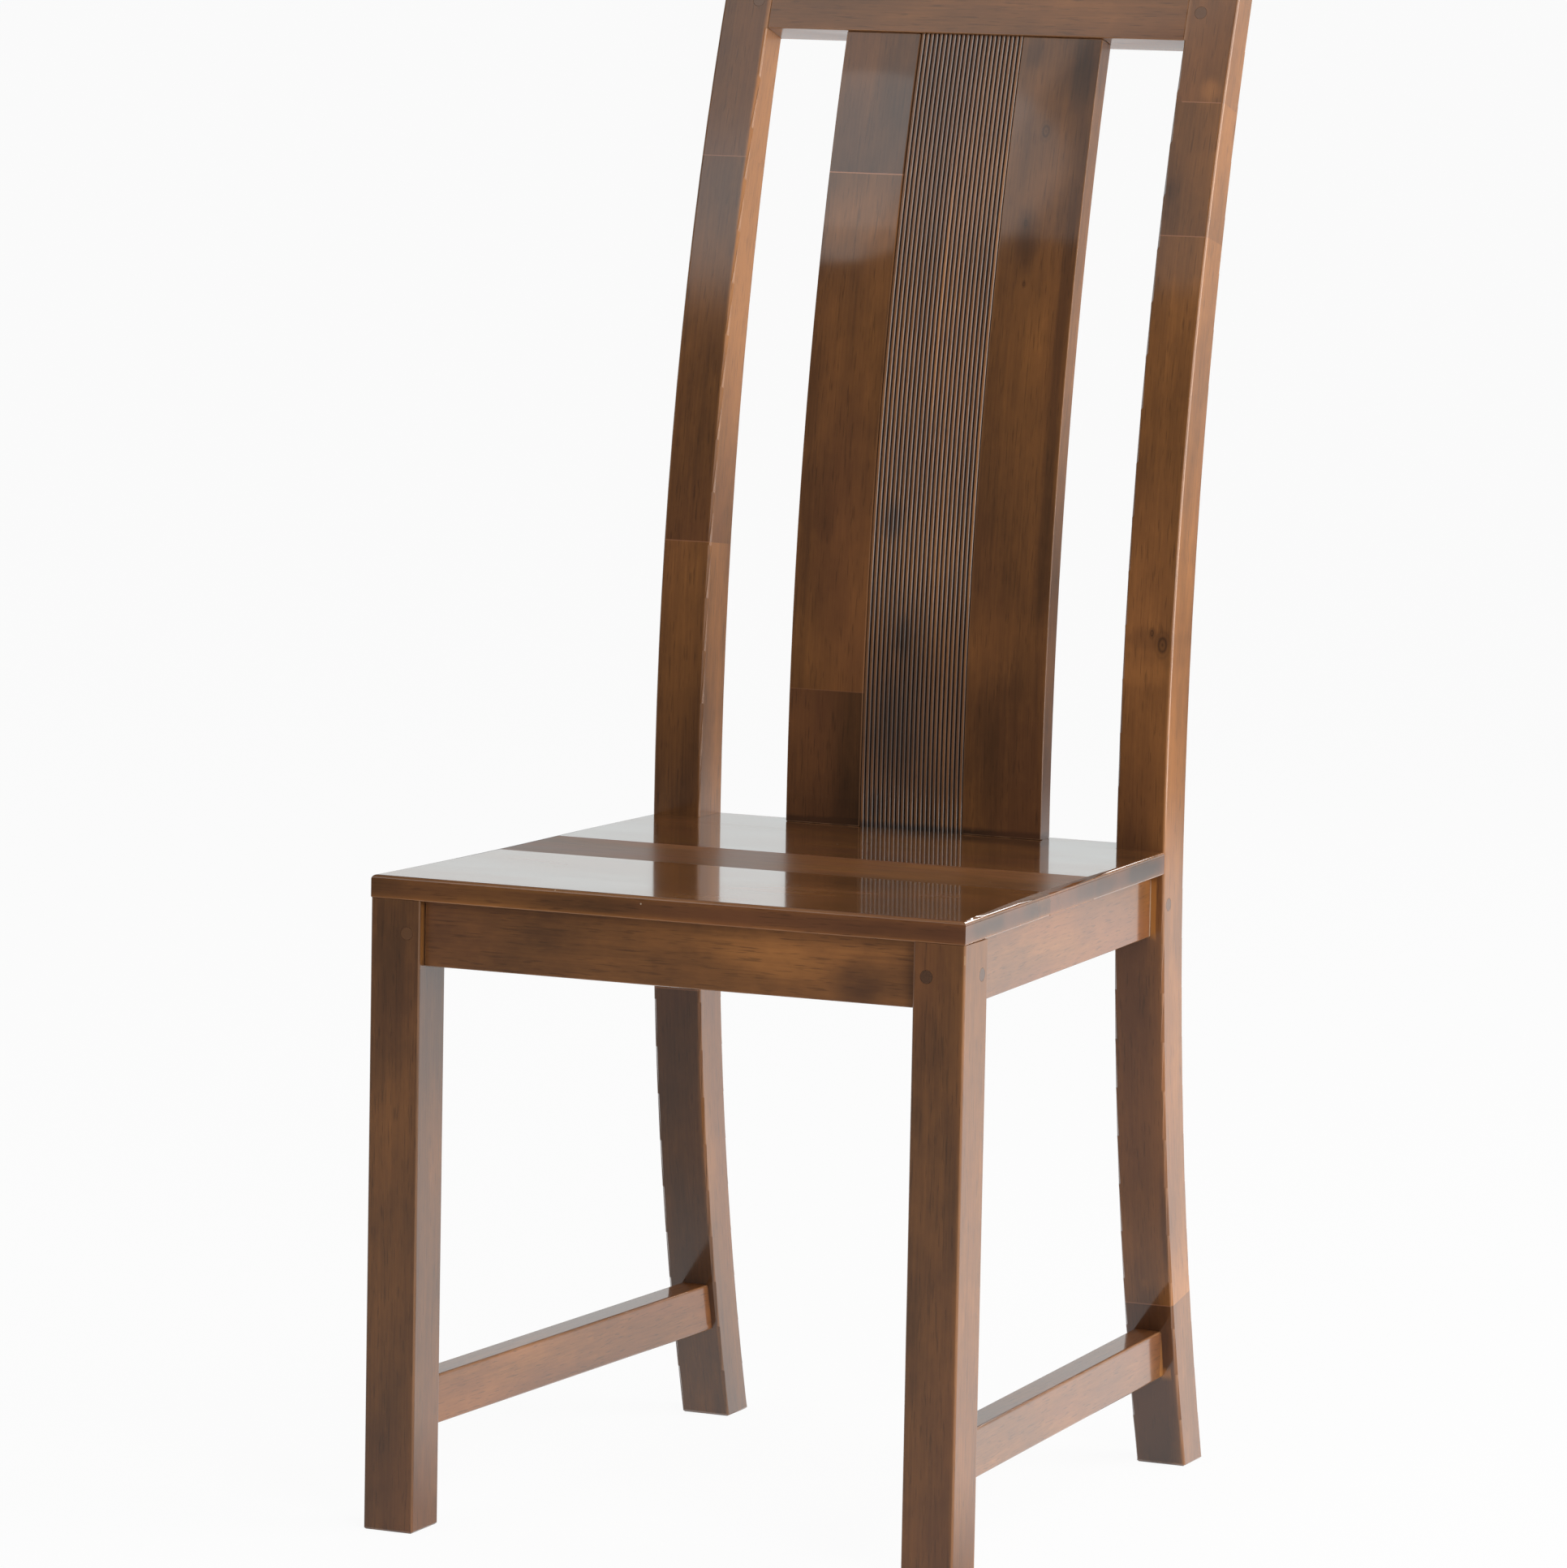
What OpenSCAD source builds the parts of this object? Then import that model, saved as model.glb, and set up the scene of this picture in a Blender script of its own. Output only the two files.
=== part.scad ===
// High-back dining chair with a reeded splat and pegged joints.
// Millimetres, +Z up, front towards -Y, origin under the middle of the chair on the floor.

/* [Seat] */
// Height of the seat's top face above the floor
seat_height = 460; // [440:1:480]
// Width across the outer faces of the front legs
front_width = 446; // [430:1:470]
// Width across the outer faces of the rear posts
rear_width = 405; // [395:1:425]
// Depth from the front legs' front face to the rear posts' front face
seat_depth = 410; // [380:1:440]
// Thickness of the seat boards
seat_thickness = 16; // [14:0.5:20]
// Length of the seat that runs back between the rear posts
seat_tail = 32; // [29:1:35]
// Depth of the front seat board
front_board_depth = 168; // [140:1:190]
// Depth of the middle seat board
middle_board_depth = 90; // [60:1:110]
// Radius along the seat's top edges
seat_round = 3; // [1:0.5:5]
// Length of the hand-eased band along each side edge of the seat, taken on a sharp edge
ease_length = 390; // [200:10:440]
// Distance of that band's middle behind the seat's front
ease_middle = 153; // [100:1:200]
// Width of that band at its middle
ease_width = 7; // [4:0.5:10]
// Fall of that band at its middle
ease_fall = 1.6; // [1:0.1:2.5]

/* [Front legs] */
// Width of a front leg
leg_width = 38; // [34:1:44]
// Depth of a front leg
leg_depth = 40; // [38:1:46]

/* [Rear posts] */
// Width of a rear post
post_width = 38; // [34:1:44]
// Depth of a rear post where it stands upright
post_depth = 38; // [36:1:42]
// Height at which the rear posts stand upright, between the two bends
bend_height = 466; // [455:1:475]
// Height of the front top edge of the back
back_height = 1075; // [1000:5:1120]
// Radius of the posts' front face above the seat
upper_front_radius = 1775; // [1700:5:1850]
// Radius of the posts' rear face above the seat
upper_back_radius = 1956; // [1900:5:2000]
// Radius of the posts' front face below the seat
lower_front_radius = 1593; // [1550:1:1650]
// Radius of the posts' rear face below the seat
lower_back_radius = 1647; // [1620:1:1700]
// Radius along the long edges of legs, posts and stretchers
edge_round = 2; // [0.5:0.5:4]
// Width of the bevel around the bottom of each leg and post
foot_bevel = 1.5; // [1:0.5:3]

/* [Back] */
// Height of the crest rail, measured along its lean
crest_height = 42; // [36:1:60]
// Thickness of the splat
splat_thickness = 17; // [14:0.5:18]
// Distance from the splat's rear face to the posts' rear face
splat_setback = 8.2; // [7.5:0.1:9]
// Width of the splat board on the left
splat_left_width = 59; // [50:1:70]
// Width of the reeded strip in the middle of the splat
reed_strip_width = 81; // [70:1:90]
// Width of the splat board on the right
splat_right_width = 62; // [50:1:70]
// Number of reeds on the strip
reed_count = 23; // [15:1:27]
// Width of the flat left at the bottom of the groove between two reeds
reed_gap = 0.1; // [0.1:0.05:0.3]

/* [Aprons and stretchers] */
// Height of the four aprons
apron_height = 46; // [42:1:60]
// Thickness of the four aprons
apron_thickness = 20; // [18:0.5:22]
// Recess of the front apron behind the front legs' front face
front_apron_recess = 8; // [6:0.5:9]
// Recess of the side aprons behind the legs' outer faces
side_apron_recess = 10; // [8:0.5:11]
// Recess of the rear apron behind the rear posts' front face
rear_apron_recess = 5; // [3:0.5:7]
// Height of a side stretcher
stretcher_height = 35; // [30:1:45]
// Thickness of a side stretcher
stretcher_thickness = 22; // [18:0.5:24]
// Recess of the side stretchers behind the legs' outer faces
stretcher_recess = 8; // [7:0.5:10]
// Height of the side stretchers' lower face above the floor
stretcher_level = 69; // [50:1:120]

/* [Joinery] */
// Thickness of the tenons
tenon_thickness = 8; // [6:0.5:9]
// Height of the shoulder above and below each tenon
tenon_shoulder = 6; // [4:0.5:9]
// Wood left between a tenon's end and the far face of a leg or post
tenon_cover = 13; // [11:0.5:16]
// Wood left between two tenons that meet in a leg or post
tenon_wall = 2; // [1:0.5:3]
// Thickness of the tongues on the splat
tongue_thickness = 8; // [6:0.5:10]
// Depth of the splat's tongue in the crest rail
crest_tongue = 12; // [8:1:16]
// Depth of the splat's tongue in the seat
seat_tongue = 9; // [6:0.5:11]
// Diameter of the pegs
peg_diameter = 9; // [7:0.5:9.5]
// Distance from a tenon's shoulder to the peg's centre
peg_setback = 10; // [9:0.5:12]
// Clearance around tenons, tongues, pegs and screws
joint_gap = 0.15; // [0.1:0.05:0.25]

/* [Corner blocks] */
// Height of a corner block
block_height = 30; // [26:1:36]
// Distance from a leg's inner corner to the near end of a block's bearing face
block_start = 20; // [16:1:24]
// Length of a corner block's bearing faces
block_bearing = 40; // [36:1:50]
// Diameter of the screws
screw_diameter = 4; // [3.5:0.1:4.5]
// Diameter of a screw's head
screw_head = 8; // [7:0.1:9]
// Length that a screw reaches into an apron or the seat
screw_bite = 10; // [8:0.5:11]
// Wood of the corner block left under a screw's head
screw_grip = 12; // [10:0.5:14]

/* [Hidden] */

$fn = 48;
// Fineness of the long curves of posts and splat
curve_fineness = 720;
// Small overlap that makes two shapes of one piece grow together
weld = 1;
// Margin by which a cutting shape runs past what it cuts
past = 5;

heart_wood = [0.33, 0.20, 0.13];
red_wood = [0.42, 0.25, 0.17];
peg_wood = [0.20, 0.12, 0.08];
hidden_wood = [0.62, 0.47, 0.32];
screw_metal = [0.70, 0.66, 0.50];

// Levels and faces that several pieces share
seat_underside = seat_height - seat_thickness;
apron_bottom = seat_underside - apron_height;
apron_middle = seat_underside - apron_height / 2;
leg_inner = front_width / 2 - leg_width;
post_outer = rear_width / 2;
post_inner = post_outer - post_width;
seat_rear = seat_depth + seat_tail;
side_angle = atan((front_width - rear_width) / 2 / seat_depth);

// Centres of the four long curves, all at the height where the posts stand upright
upper_front_centre = seat_depth + upper_front_radius;
upper_back_centre = seat_depth + post_depth + upper_back_radius;
lower_front_centre = seat_depth + lower_front_radius;
lower_back_centre = seat_depth + post_depth + lower_back_radius;
top_angle = asin((back_height - bend_height) / upper_front_radius);
crest_angle = top_angle - crest_height / upper_front_radius * 180 / PI;
crest_middle = (top_angle + crest_angle) / 2;
foot_angle = asin(bend_height / lower_front_radius);
spare_angle = 6;
sweep_reach = 2 * post_depth;

// Depth of a post or of the crest rail, square to the front face, at an angle up the back
centre_step = upper_front_centre - upper_back_centre;
function depth_at(angle) = upper_front_radius - centre_step * cos(angle)
    - sqrt(upper_back_radius ^ 2 - (centre_step * sin(angle)) ^ 2);

// Distance of the posts' front and rear faces from the front legs' front face at a level
// below the bend
function post_front(level) = lower_front_centre
    - sqrt(lower_front_radius ^ 2 - (bend_height - level) ^ 2);
function post_back(level) = lower_back_centre
    - sqrt(lower_back_radius ^ 2 - (bend_height - level) ^ 2);

// Rear top edge of the posts, which is the rearmost line of the chair
overall_depth = upper_front_centre
    - (upper_front_radius - depth_at(top_angle)) * cos(top_angle);

// Tenons and pegs
front_tenon_y = front_apron_recess + (apron_thickness - tenon_thickness) / 2;
front_tenon_end = front_width / 2 - tenon_cover;
side_tenon_inset = side_apron_recess + (apron_thickness - tenon_thickness) / 2;
side_tenon_start = front_tenon_y + tenon_thickness + tenon_wall;
post_tenon_end = seat_depth + post_depth - tenon_cover;
post_tenon_inner = post_outer - side_tenon_inset - tenon_thickness
    - (post_tenon_end - seat_depth) * tan(side_angle);
rear_tenon_y = seat_depth + rear_apron_recess + (apron_thickness - tenon_thickness) / 2;
rear_tenon_end = post_tenon_inner - tenon_wall;
crest_tenon_end = post_outer - tenon_cover;
stretcher_middle = stretcher_level + stretcher_height / 2;
stretcher_tenon_inset = stretcher_recess + (stretcher_thickness - tenon_thickness) / 2;
stretcher_tenon_start = tenon_cover;
stretcher_tenon_end = post_front(stretcher_middle) + post_depth - tenon_cover;

// Splat, set out from its left edge
splat_width = splat_left_width + reed_strip_width + splat_right_width;
splat_left = -splat_width / 2;
strip_left = splat_left + splat_left_width;
strip_right = strip_left + reed_strip_width;
splat_right = splat_width / 2;
splat_back_radius = upper_back_radius + splat_setback;
splat_front_radius = splat_back_radius + splat_thickness;
tongue_radius = splat_back_radius + (splat_thickness - tongue_thickness) / 2;
reed_pitch = reed_strip_width / reed_count;
reed_radius = (reed_pitch - reed_gap) / 2;

// The chair stands with the middle of its depth over the origin
module on_centre() {
    translate([0, -overall_depth / 2, 0]) children();
}

// The same piece on the other side of the chair
module left_side() {
    mirror([1, 0, 0]) children();
}

// Sweep a section about an axis across the chair; the section's X is the radius and
// its Y runs to the left, and the angle is zero where the posts stand upright
module swing(centre, from, to) {
    translate([0, centre, bend_height])
        rotate([90, 0, -90])
            rotate([0, 0, from])
                rotate_extrude(angle = to - from, $fn = curve_fineness) children();
}

// Section from radius to radius + depth, between two distances to the right of the middle
module strip(radius, depth, left, right) {
    translate([min(radius, radius + depth), -right]) square([abs(depth), right - left]);
}

// The same with the two corners at the stated radius rounded
module eased_strip(radius, depth, left, right) {
    inner = radius + sign(depth) * edge_round;
    strip(inner, depth - sign(depth) * edge_round, left, right);
    strip(radius, sign(depth) * edge_round, left + edge_round, right - edge_round);
    for (corner = [edge_round - right, -left - edge_round])
        translate([inner, corner]) circle(edge_round);
}

// Put a piece on the back's front face at an angle up the curve: Y goes into the wood
module on_back(angle) {
    translate([0, upper_front_centre, bend_height])
        rotate([-angle, 0, 0])
            translate([0, -upper_front_radius, 0]) children();
}

// Put a piece along the right side of the seat: Y runs back, X is zero at the inset line
module along_side(inset) {
    translate([front_width / 2 - inset / cos(side_angle), 0, 0])
        rotate([0, 0, side_angle]) children();
}

module eased_rectangle(width, depth, radius) {
    translate([radius, 0]) square([width - 2 * radius, depth]);
    translate([0, radius]) square([width, depth - 2 * radius]);
    for (x = [radius, width - radius])
        for (y = [radius, depth - radius])
            translate([x, y]) circle(radius);
}

// Tenons of the right side; gap makes them the size of their mortises
module front_apron_tenon(gap = 0) {
    translate([leg_inner - past, front_tenon_y - gap, apron_bottom + tenon_shoulder - gap])
        cube([front_tenon_end - leg_inner + past + gap, tenon_thickness + 2 * gap,
              apron_height - 2 * tenon_shoulder + 2 * gap]);
}

module rear_apron_tenon(gap = 0) {
    translate([post_inner - past, rear_tenon_y - gap, apron_bottom + tenon_shoulder - gap])
        cube([rear_tenon_end - post_inner + past + gap, tenon_thickness + 2 * gap,
              apron_height - 2 * tenon_shoulder + 2 * gap]);
}

module side_tenon(inset, from, to, bottom, height, gap = 0) {
    along_side(inset + tenon_thickness + gap)
        translate([0, from - gap, bottom + tenon_shoulder - gap])
            cube([tenon_thickness + 2 * gap, to - from + 2 * gap,
                  height - 2 * tenon_shoulder + 2 * gap]);
}

module side_apron_tenons(gap = 0) {
    side_tenon(side_tenon_inset, side_tenon_start, leg_depth + past,
               apron_bottom, apron_height, gap);
    side_tenon(side_tenon_inset, seat_depth - past, post_tenon_end,
               apron_bottom, apron_height, gap);
}

module stretcher_tenons(gap = 0) {
    side_tenon(stretcher_tenon_inset, stretcher_tenon_start, leg_depth + past,
               stretcher_level, stretcher_height, gap);
    side_tenon(stretcher_tenon_inset, post_front(stretcher_middle) - past, stretcher_tenon_end,
               stretcher_level, stretcher_height, gap);
}

module crest_tenon(gap = 0) {
    tenon_height = crest_height - 2 * tenon_shoulder;
    on_back(crest_middle)
        translate([post_inner - past, (depth_at(crest_middle) - tenon_thickness) / 2 - gap,
                   -tenon_height / 2 - gap])
            cube([crest_tenon_end - post_inner + past + gap, tenon_thickness + 2 * gap,
                  tenon_height + 2 * gap]);
}

// Pegs of the right side, lying through the middle of each tenon
module front_apron_peg(gap = 0) {
    translate([leg_inner + peg_setback, 0, apron_middle])
        rotate([-90, 0, 0])
            cylinder(d = peg_diameter + 2 * gap, h = side_tenon_start - tenon_wall / 2 + gap);
}

module front_leg_side_peg(gap = 0) {
    length = side_tenon_inset + tenon_thickness + leg_depth * tan(side_angle) + tenon_wall + gap;
    translate([front_width / 2 - length, leg_depth - peg_setback, apron_middle])
        rotate([0, 90, 0])
            cylinder(d = peg_diameter + 2 * gap, h = length);
}

module rear_post_side_peg(gap = 0) {
    inner = rear_tenon_end + tenon_wall / 2;
    translate([inner - gap, seat_depth + peg_setback, apron_middle])
        rotate([0, 90, 0])
            cylinder(d = peg_diameter + 2 * gap, h = post_outer - inner + gap);
}

module crest_peg(gap = 0) {
    reach = (depth_at(crest_middle) + tenon_thickness) / 2 + tenon_wall;
    intersection() {
        on_back(crest_middle)
            translate([post_inner + peg_setback, -past, 0])
                rotate([-90, 0, 0])
                    cylinder(d = peg_diameter + 2 * gap, h = past + reach + gap);
        swing(upper_front_centre, 0, top_angle)
            strip(upper_front_radius, -sweep_reach, post_inner, post_outer);
    }
}

// Bevel cutter along X for a lower edge at the origin, with the wood towards +Y and +Z
module bevel_cutter(length) {
    translate([-past, foot_bevel, 0])
        rotate([45, 0, 0])
            translate([0, -past, -past]) cube([length + 2 * past, past, 3 * past]);
}

// The four bevels around a foot whose outline on the floor has these sides
module foot_bevels(left, right, front, back) {
    translate([left, front, 0]) bevel_cutter(right - left);
    translate([right, back, 0]) rotate([0, 0, 180]) bevel_cutter(right - left);
    translate([left, back, 0]) rotate([0, 0, -90]) bevel_cutter(back - front);
    translate([right, front, 0]) rotate([0, 0, 90]) bevel_cutter(back - front);
}

module front_leg() {
    difference() {
        translate([leg_inner, 0, 0])
            linear_extrude(seat_underside) eased_rectangle(leg_width, leg_depth, edge_round);
        foot_bevels(leg_inner, front_width / 2, 0, leg_depth);
        front_apron_tenon(joint_gap);
        side_apron_tenons(joint_gap);
        stretcher_tenons(joint_gap);
        front_apron_peg(joint_gap);
        front_leg_side_peg(joint_gap);
    }
}

// Right rear post before its mortises are cut: two bends that meet where it stands upright
module post_blank() {
    intersection() {
        swing(upper_front_centre, 0, top_angle)
            eased_strip(upper_front_radius, -sweep_reach, post_inner, post_outer);
        swing(upper_back_centre, 0, top_angle + spare_angle)
            eased_strip(upper_back_radius, sweep_reach, post_inner, post_outer);
    }
    intersection() {
        swing(lower_front_centre, -foot_angle - spare_angle, 0)
            eased_strip(lower_front_radius, -sweep_reach, post_inner, post_outer);
        swing(lower_back_centre, -foot_angle - spare_angle, 0)
            eased_strip(lower_back_radius, sweep_reach, post_inner, post_outer);
        translate([0, seat_depth - past, 0])
            cube([rear_width, seat_depth, bend_height]);
    }
    // The inner edges stay square where the crest rail meets them flush
    intersection() {
        swing(upper_front_centre, crest_angle, top_angle)
            strip(upper_front_radius, -sweep_reach, post_inner, post_inner + edge_round + weld);
        swing(upper_back_centre, 0, top_angle + spare_angle)
            strip(upper_back_radius, sweep_reach, post_inner, post_inner + edge_round + weld);
    }
}

module rear_post() {
    difference() {
        post_blank();
        foot_bevels(post_inner, post_outer, post_front(0), post_back(0));
        crest_tenon(joint_gap);
        rear_apron_tenon(joint_gap);
        side_apron_tenons(joint_gap);
        stretcher_tenons(joint_gap);
        rear_post_side_peg(joint_gap);
        crest_peg(joint_gap);
    }
}

module front_apron() {
    color(heart_wood) on_centre() difference() {
        union() {
            translate([-leg_inner, front_apron_recess, apron_bottom])
                cube([2 * leg_inner, apron_thickness, apron_height]);
            front_apron_tenon();
            left_side() front_apron_tenon();
        }
        both_sides() {
            front_apron_peg(joint_gap);
            block_screw_holes();
        }
    }
}

module rear_apron() {
    color(heart_wood) on_centre() difference() {
        union() {
            translate([-post_inner, seat_depth + rear_apron_recess, apron_bottom])
                cube([2 * post_inner, apron_thickness, apron_height]);
            rear_apron_tenon();
            left_side() rear_apron_tenon();
        }
        both_sides() block_screw_holes();
    }
}

module both_sides() {
    children();
    left_side() children();
}

// Rail along the right side, cut to meet the leg and the curve of the post
module side_rail_body(inset, thickness, bottom, height, round) {
    difference() {
        intersection() {
            along_side(inset + thickness)
                translate([0, leg_depth / 2, bottom])
                    rotate([-90, 0, 0])
                        mirror([0, 1, 0])
                            linear_extrude(seat_depth + leg_depth)
                                eased_rectangle(thickness, height, round);
            translate([0, leg_depth, 0])
                cube([front_width, post_front(bottom + height / 2) + post_depth / 2 - leg_depth,
                      seat_height]);
        }
        post_blank();
    }
}

module side_apron() {
    difference() {
        union() {
            side_rail_body(side_apron_recess, apron_thickness, apron_bottom, apron_height,
                           edge_round / 2);
            side_apron_tenons();
        }
        front_leg_side_peg(joint_gap);
        rear_post_side_peg(joint_gap);
        block_screw_holes();
    }
}

module side_stretcher() {
    side_rail_body(stretcher_recess, stretcher_thickness, stretcher_level, stretcher_height,
                   edge_round);
    stretcher_tenons();
}

// Rail across the top of the back, flush with the posts and grooved for the splat
module crest_rail() {
    color(heart_wood) on_centre() difference() {
        union() {
            intersection() {
                swing(upper_front_centre, crest_angle, top_angle)
                    strip(upper_front_radius, -sweep_reach, -post_inner, post_inner);
                swing(upper_back_centre, 0, top_angle + spare_angle)
                    strip(upper_back_radius, sweep_reach, -post_inner, post_inner);
            }
            crest_tenon();
            left_side() crest_tenon();
        }
        both_sides() crest_peg(joint_gap);
        splat_tongue(splat_left, splat_right, joint_gap);
    }
}

// What lies under the crest rail's lower face, or under the end of the tongue in it
module below_crest(extra) {
    swing(upper_front_centre, -spare_angle, crest_angle + extra / upper_front_radius * 180 / PI)
        strip(upper_front_radius + past, -sweep_reach, -rear_width / 2, rear_width / 2);
}

// What lies above a level, over the splat's whole depth
module above(level) {
    translate([-rear_width / 2, seat_depth, level])
        cube([rear_width, overall_depth, back_height]);
}

module splat_tongue(left, right, gap = 0) {
    intersection() {
        swing(upper_back_centre, -spare_angle, top_angle)
            strip(tongue_radius - gap, tongue_thickness + 2 * gap, left - gap, right + gap);
        below_crest(crest_tongue + gap);
        above(seat_height - seat_tongue - gap);
    }
}

module splat_board(left, right) {
    intersection() {
        swing(upper_back_centre, -spare_angle, top_angle)
            strip(splat_back_radius, splat_thickness, left, right);
        below_crest(0);
        above(seat_height);
    }
    splat_tongue(left, right);
}

module splat_left_board() {
    color(heart_wood) on_centre() splat_board(splat_left, strip_left);
}

module splat_right_board() {
    color(heart_wood) on_centre() splat_board(strip_right, splat_right);
}

// Strip with full-length rounded reeds, whose crests are level with the boards beside it
module splat_reeded_strip() {
    color(peg_wood) on_centre() {
        intersection() {
            swing(upper_back_centre, -spare_angle, top_angle) {
                strip(splat_back_radius, splat_thickness - reed_radius, strip_left, strip_right);
                for (reed = [0.5 : reed_count - 0.5])
                    translate([splat_front_radius - reed_radius, -strip_left - reed * reed_pitch])
                        circle(reed_radius);
            }
            below_crest(0);
            above(seat_height);
        }
        splat_tongue(strip_left, strip_right);
    }
}

// Quarter-round cutter along Y for an edge at the origin
module round_cutter(length, radius) {
    translate([-radius, -past, -radius])
        difference() {
            cube([radius + past, length + 2 * past, radius + past]);
            translate([0, -past, 0])
                rotate([-90, 0, 0])
                    cylinder(r = radius, h = length + 4 * past);
        }
}

// Long shallow cutter that leaves a lens-shaped band on the seat's side edge: it dips
// deepest at the middle and runs out on the edge at both ends
module ease_cutter() {
    slope = atan(ease_fall / ease_width);
    band = ease_width / cos(slope);
    dip = ease_width * sin(slope);
    radius = (ease_length / 2) ^ 2 / (2 * dip) + dip / 2;
    along_side(0)
        translate([-ease_width, ease_middle, seat_height])
            rotate([0, slope, 0])
                intersection() {
                    translate([-band, -ease_length / 2, -band])
                        cube([3 * band, ease_length, 2 * band]);
                    translate([0, 0, radius])
                        rotate([0, 90, 0])
                            cylinder(r = radius, h = 8 * band, center = true,
                                     $fn = 4 * curve_fineness);
                }
}

// The whole seat before it is divided into its three glued boards
module seat_blank() {
    difference() {
        translate([0, 0, seat_underside])
            linear_extrude(seat_thickness)
                polygon([
                    [-front_width / 2, 0], [front_width / 2, 0],
                    [post_outer, seat_depth - joint_gap],
                    [post_inner - joint_gap, seat_depth - joint_gap],
                    [post_inner - joint_gap, seat_rear],
                    [joint_gap - post_inner, seat_rear],
                    [joint_gap - post_inner, seat_depth - joint_gap],
                    [-post_outer, seat_depth - joint_gap]
                ]);
        both_sides() {
            along_side(0)
                translate([0, 0, seat_height]) round_cutter(seat_depth, seat_round);
            ease_cutter();
            seat_screw_holes();
        }
        translate([front_width / 2, 0, seat_height])
            rotate([0, 0, -90]) mirror([0, 1, 0]) round_cutter(front_width, seat_round);
        splat_tongue(splat_left, splat_right, joint_gap);
    }
}

module seat_board(from, to) {
    color(red_wood) on_centre() intersection() {
        seat_blank();
        translate([-front_width, from, 0]) cube([2 * front_width, to - from, seat_height]);
    }
}

module seat_front_board() {
    seat_board(-past, front_board_depth);
}

module seat_middle_board() {
    seat_board(front_board_depth, front_board_depth + middle_board_depth);
}

module seat_rear_board() {
    seat_board(front_board_depth + middle_board_depth, seat_rear + past);
}

// Inner face of the right side apron, as a distance from the middle of the chair
function apron_inner(y) = front_width / 2
    - (side_apron_recess + apron_thickness) / cos(side_angle) - y * tan(side_angle);

// Plan of a corner block: its bearing face on the cross apron, then the one on the side apron
front_bearing = front_apron_recess + apron_thickness;
rear_bearing = seat_depth + rear_apron_recess;
front_block_plan = [
    [leg_inner - block_start - block_bearing, front_bearing],
    [leg_inner - block_start, front_bearing],
    [apron_inner(leg_depth + block_start), leg_depth + block_start],
    [apron_inner(leg_depth + block_start + block_bearing),
     leg_depth + block_start + block_bearing]
];
rear_block_plan = [
    [post_inner - block_start - block_bearing, rear_bearing],
    [post_inner - block_start, rear_bearing],
    [apron_inner(seat_depth - block_start), seat_depth - block_start],
    [apron_inner(seat_depth - block_start - block_bearing),
     seat_depth - block_start - block_bearing]
];
block_bottom = seat_underside - block_height;
block_middle = seat_underside - block_height / 2;

function middle_of(plan) = (plan[0] + plan[1] + plan[2] + plan[3]) / 4;
function between(a, b) = (a + b) / 2;

// Countersunk wood screw along +Z with the underside of its head at the origin's level
module screw(length, gap = 0) {
    head_height = (screw_head - screw_diameter) / 2;
    tip = screw_diameter;
    translate([0, 0, -head_height])
        cylinder(d1 = screw_head + 2 * gap, d2 = screw_diameter + 2 * gap, h = head_height);
    cylinder(d = screw_diameter + 2 * gap, h = length - tip + gap);
    translate([0, 0, length - tip + gap])
        cylinder(d1 = screw_diameter + 2 * gap, d2 = 1, h = tip);
}

// The screw's hole, with a straight way in for its head
module screw_hole(length) {
    head_height = (screw_head - screw_diameter) / 2;
    screw(length, joint_gap);
    translate([0, 0, -block_bearing - head_height])
        cylinder(d = screw_head + 2 * joint_gap, h = block_bearing + weld / 10);
}

// Places of the right side's screws through the blocks into the aprons
module at_block_screws() {
    front_spot = between(front_block_plan[0], front_block_plan[1]);
    front_side_spot = between(front_block_plan[2], front_block_plan[3]);
    rear_spot = between(rear_block_plan[0], rear_block_plan[1]);
    rear_side_spot = between(rear_block_plan[2], rear_block_plan[3]);
    translate([front_spot.x, front_spot.y + screw_grip, block_middle])
        rotate([90, 0, 0]) children();
    translate([rear_spot.x, rear_spot.y - screw_grip, block_middle])
        rotate([-90, 0, 0]) children();
    for (spot = [front_side_spot, rear_side_spot])
        translate([spot.x, spot.y, block_middle])
            rotate([0, 0, side_angle])
                translate([-screw_grip, 0, 0]) rotate([0, 90, 0]) children();
}

module block_screw_holes() {
    at_block_screws() screw_hole(screw_grip + screw_bite);
}

// Places of the right side's screws up through the blocks into the seat
module at_seat_screws() {
    for (plan = [front_block_plan, rear_block_plan])
        translate([middle_of(plan).x, middle_of(plan).y, seat_underside - 2 * screw_grip])
            children();
}

module seat_screw_holes() {
    at_seat_screws() screw_hole(2 * screw_grip + screw_bite);
}

module corner_block(plan) {
    difference() {
        translate([0, 0, block_bottom]) linear_extrude(block_height) polygon(plan);
        block_screw_holes();
        seat_screw_holes();
    }
}

module block_screws() {
    color(screw_metal) on_centre() both_sides()
        at_block_screws() screw(screw_grip + screw_bite);
}

module seat_screws() {
    color(screw_metal) on_centre() both_sides()
        at_seat_screws() screw(2 * screw_grip + screw_bite);
}

module front_leg_left() {
    color(heart_wood) on_centre() left_side() front_leg();
}

module front_leg_right() {
    color(heart_wood) on_centre() front_leg();
}

module rear_post_left() {
    color(heart_wood) on_centre() left_side() rear_post();
}

module rear_post_right() {
    color(heart_wood) on_centre() rear_post();
}

module side_apron_left() {
    color(red_wood) on_centre() left_side() side_apron();
}

module side_apron_right() {
    color(red_wood) on_centre() side_apron();
}

module side_stretcher_left() {
    color(red_wood) on_centre() left_side() side_stretcher();
}

module side_stretcher_right() {
    color(red_wood) on_centre() side_stretcher();
}

module front_block_left() {
    color(hidden_wood) on_centre() left_side() corner_block(front_block_plan);
}

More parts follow.
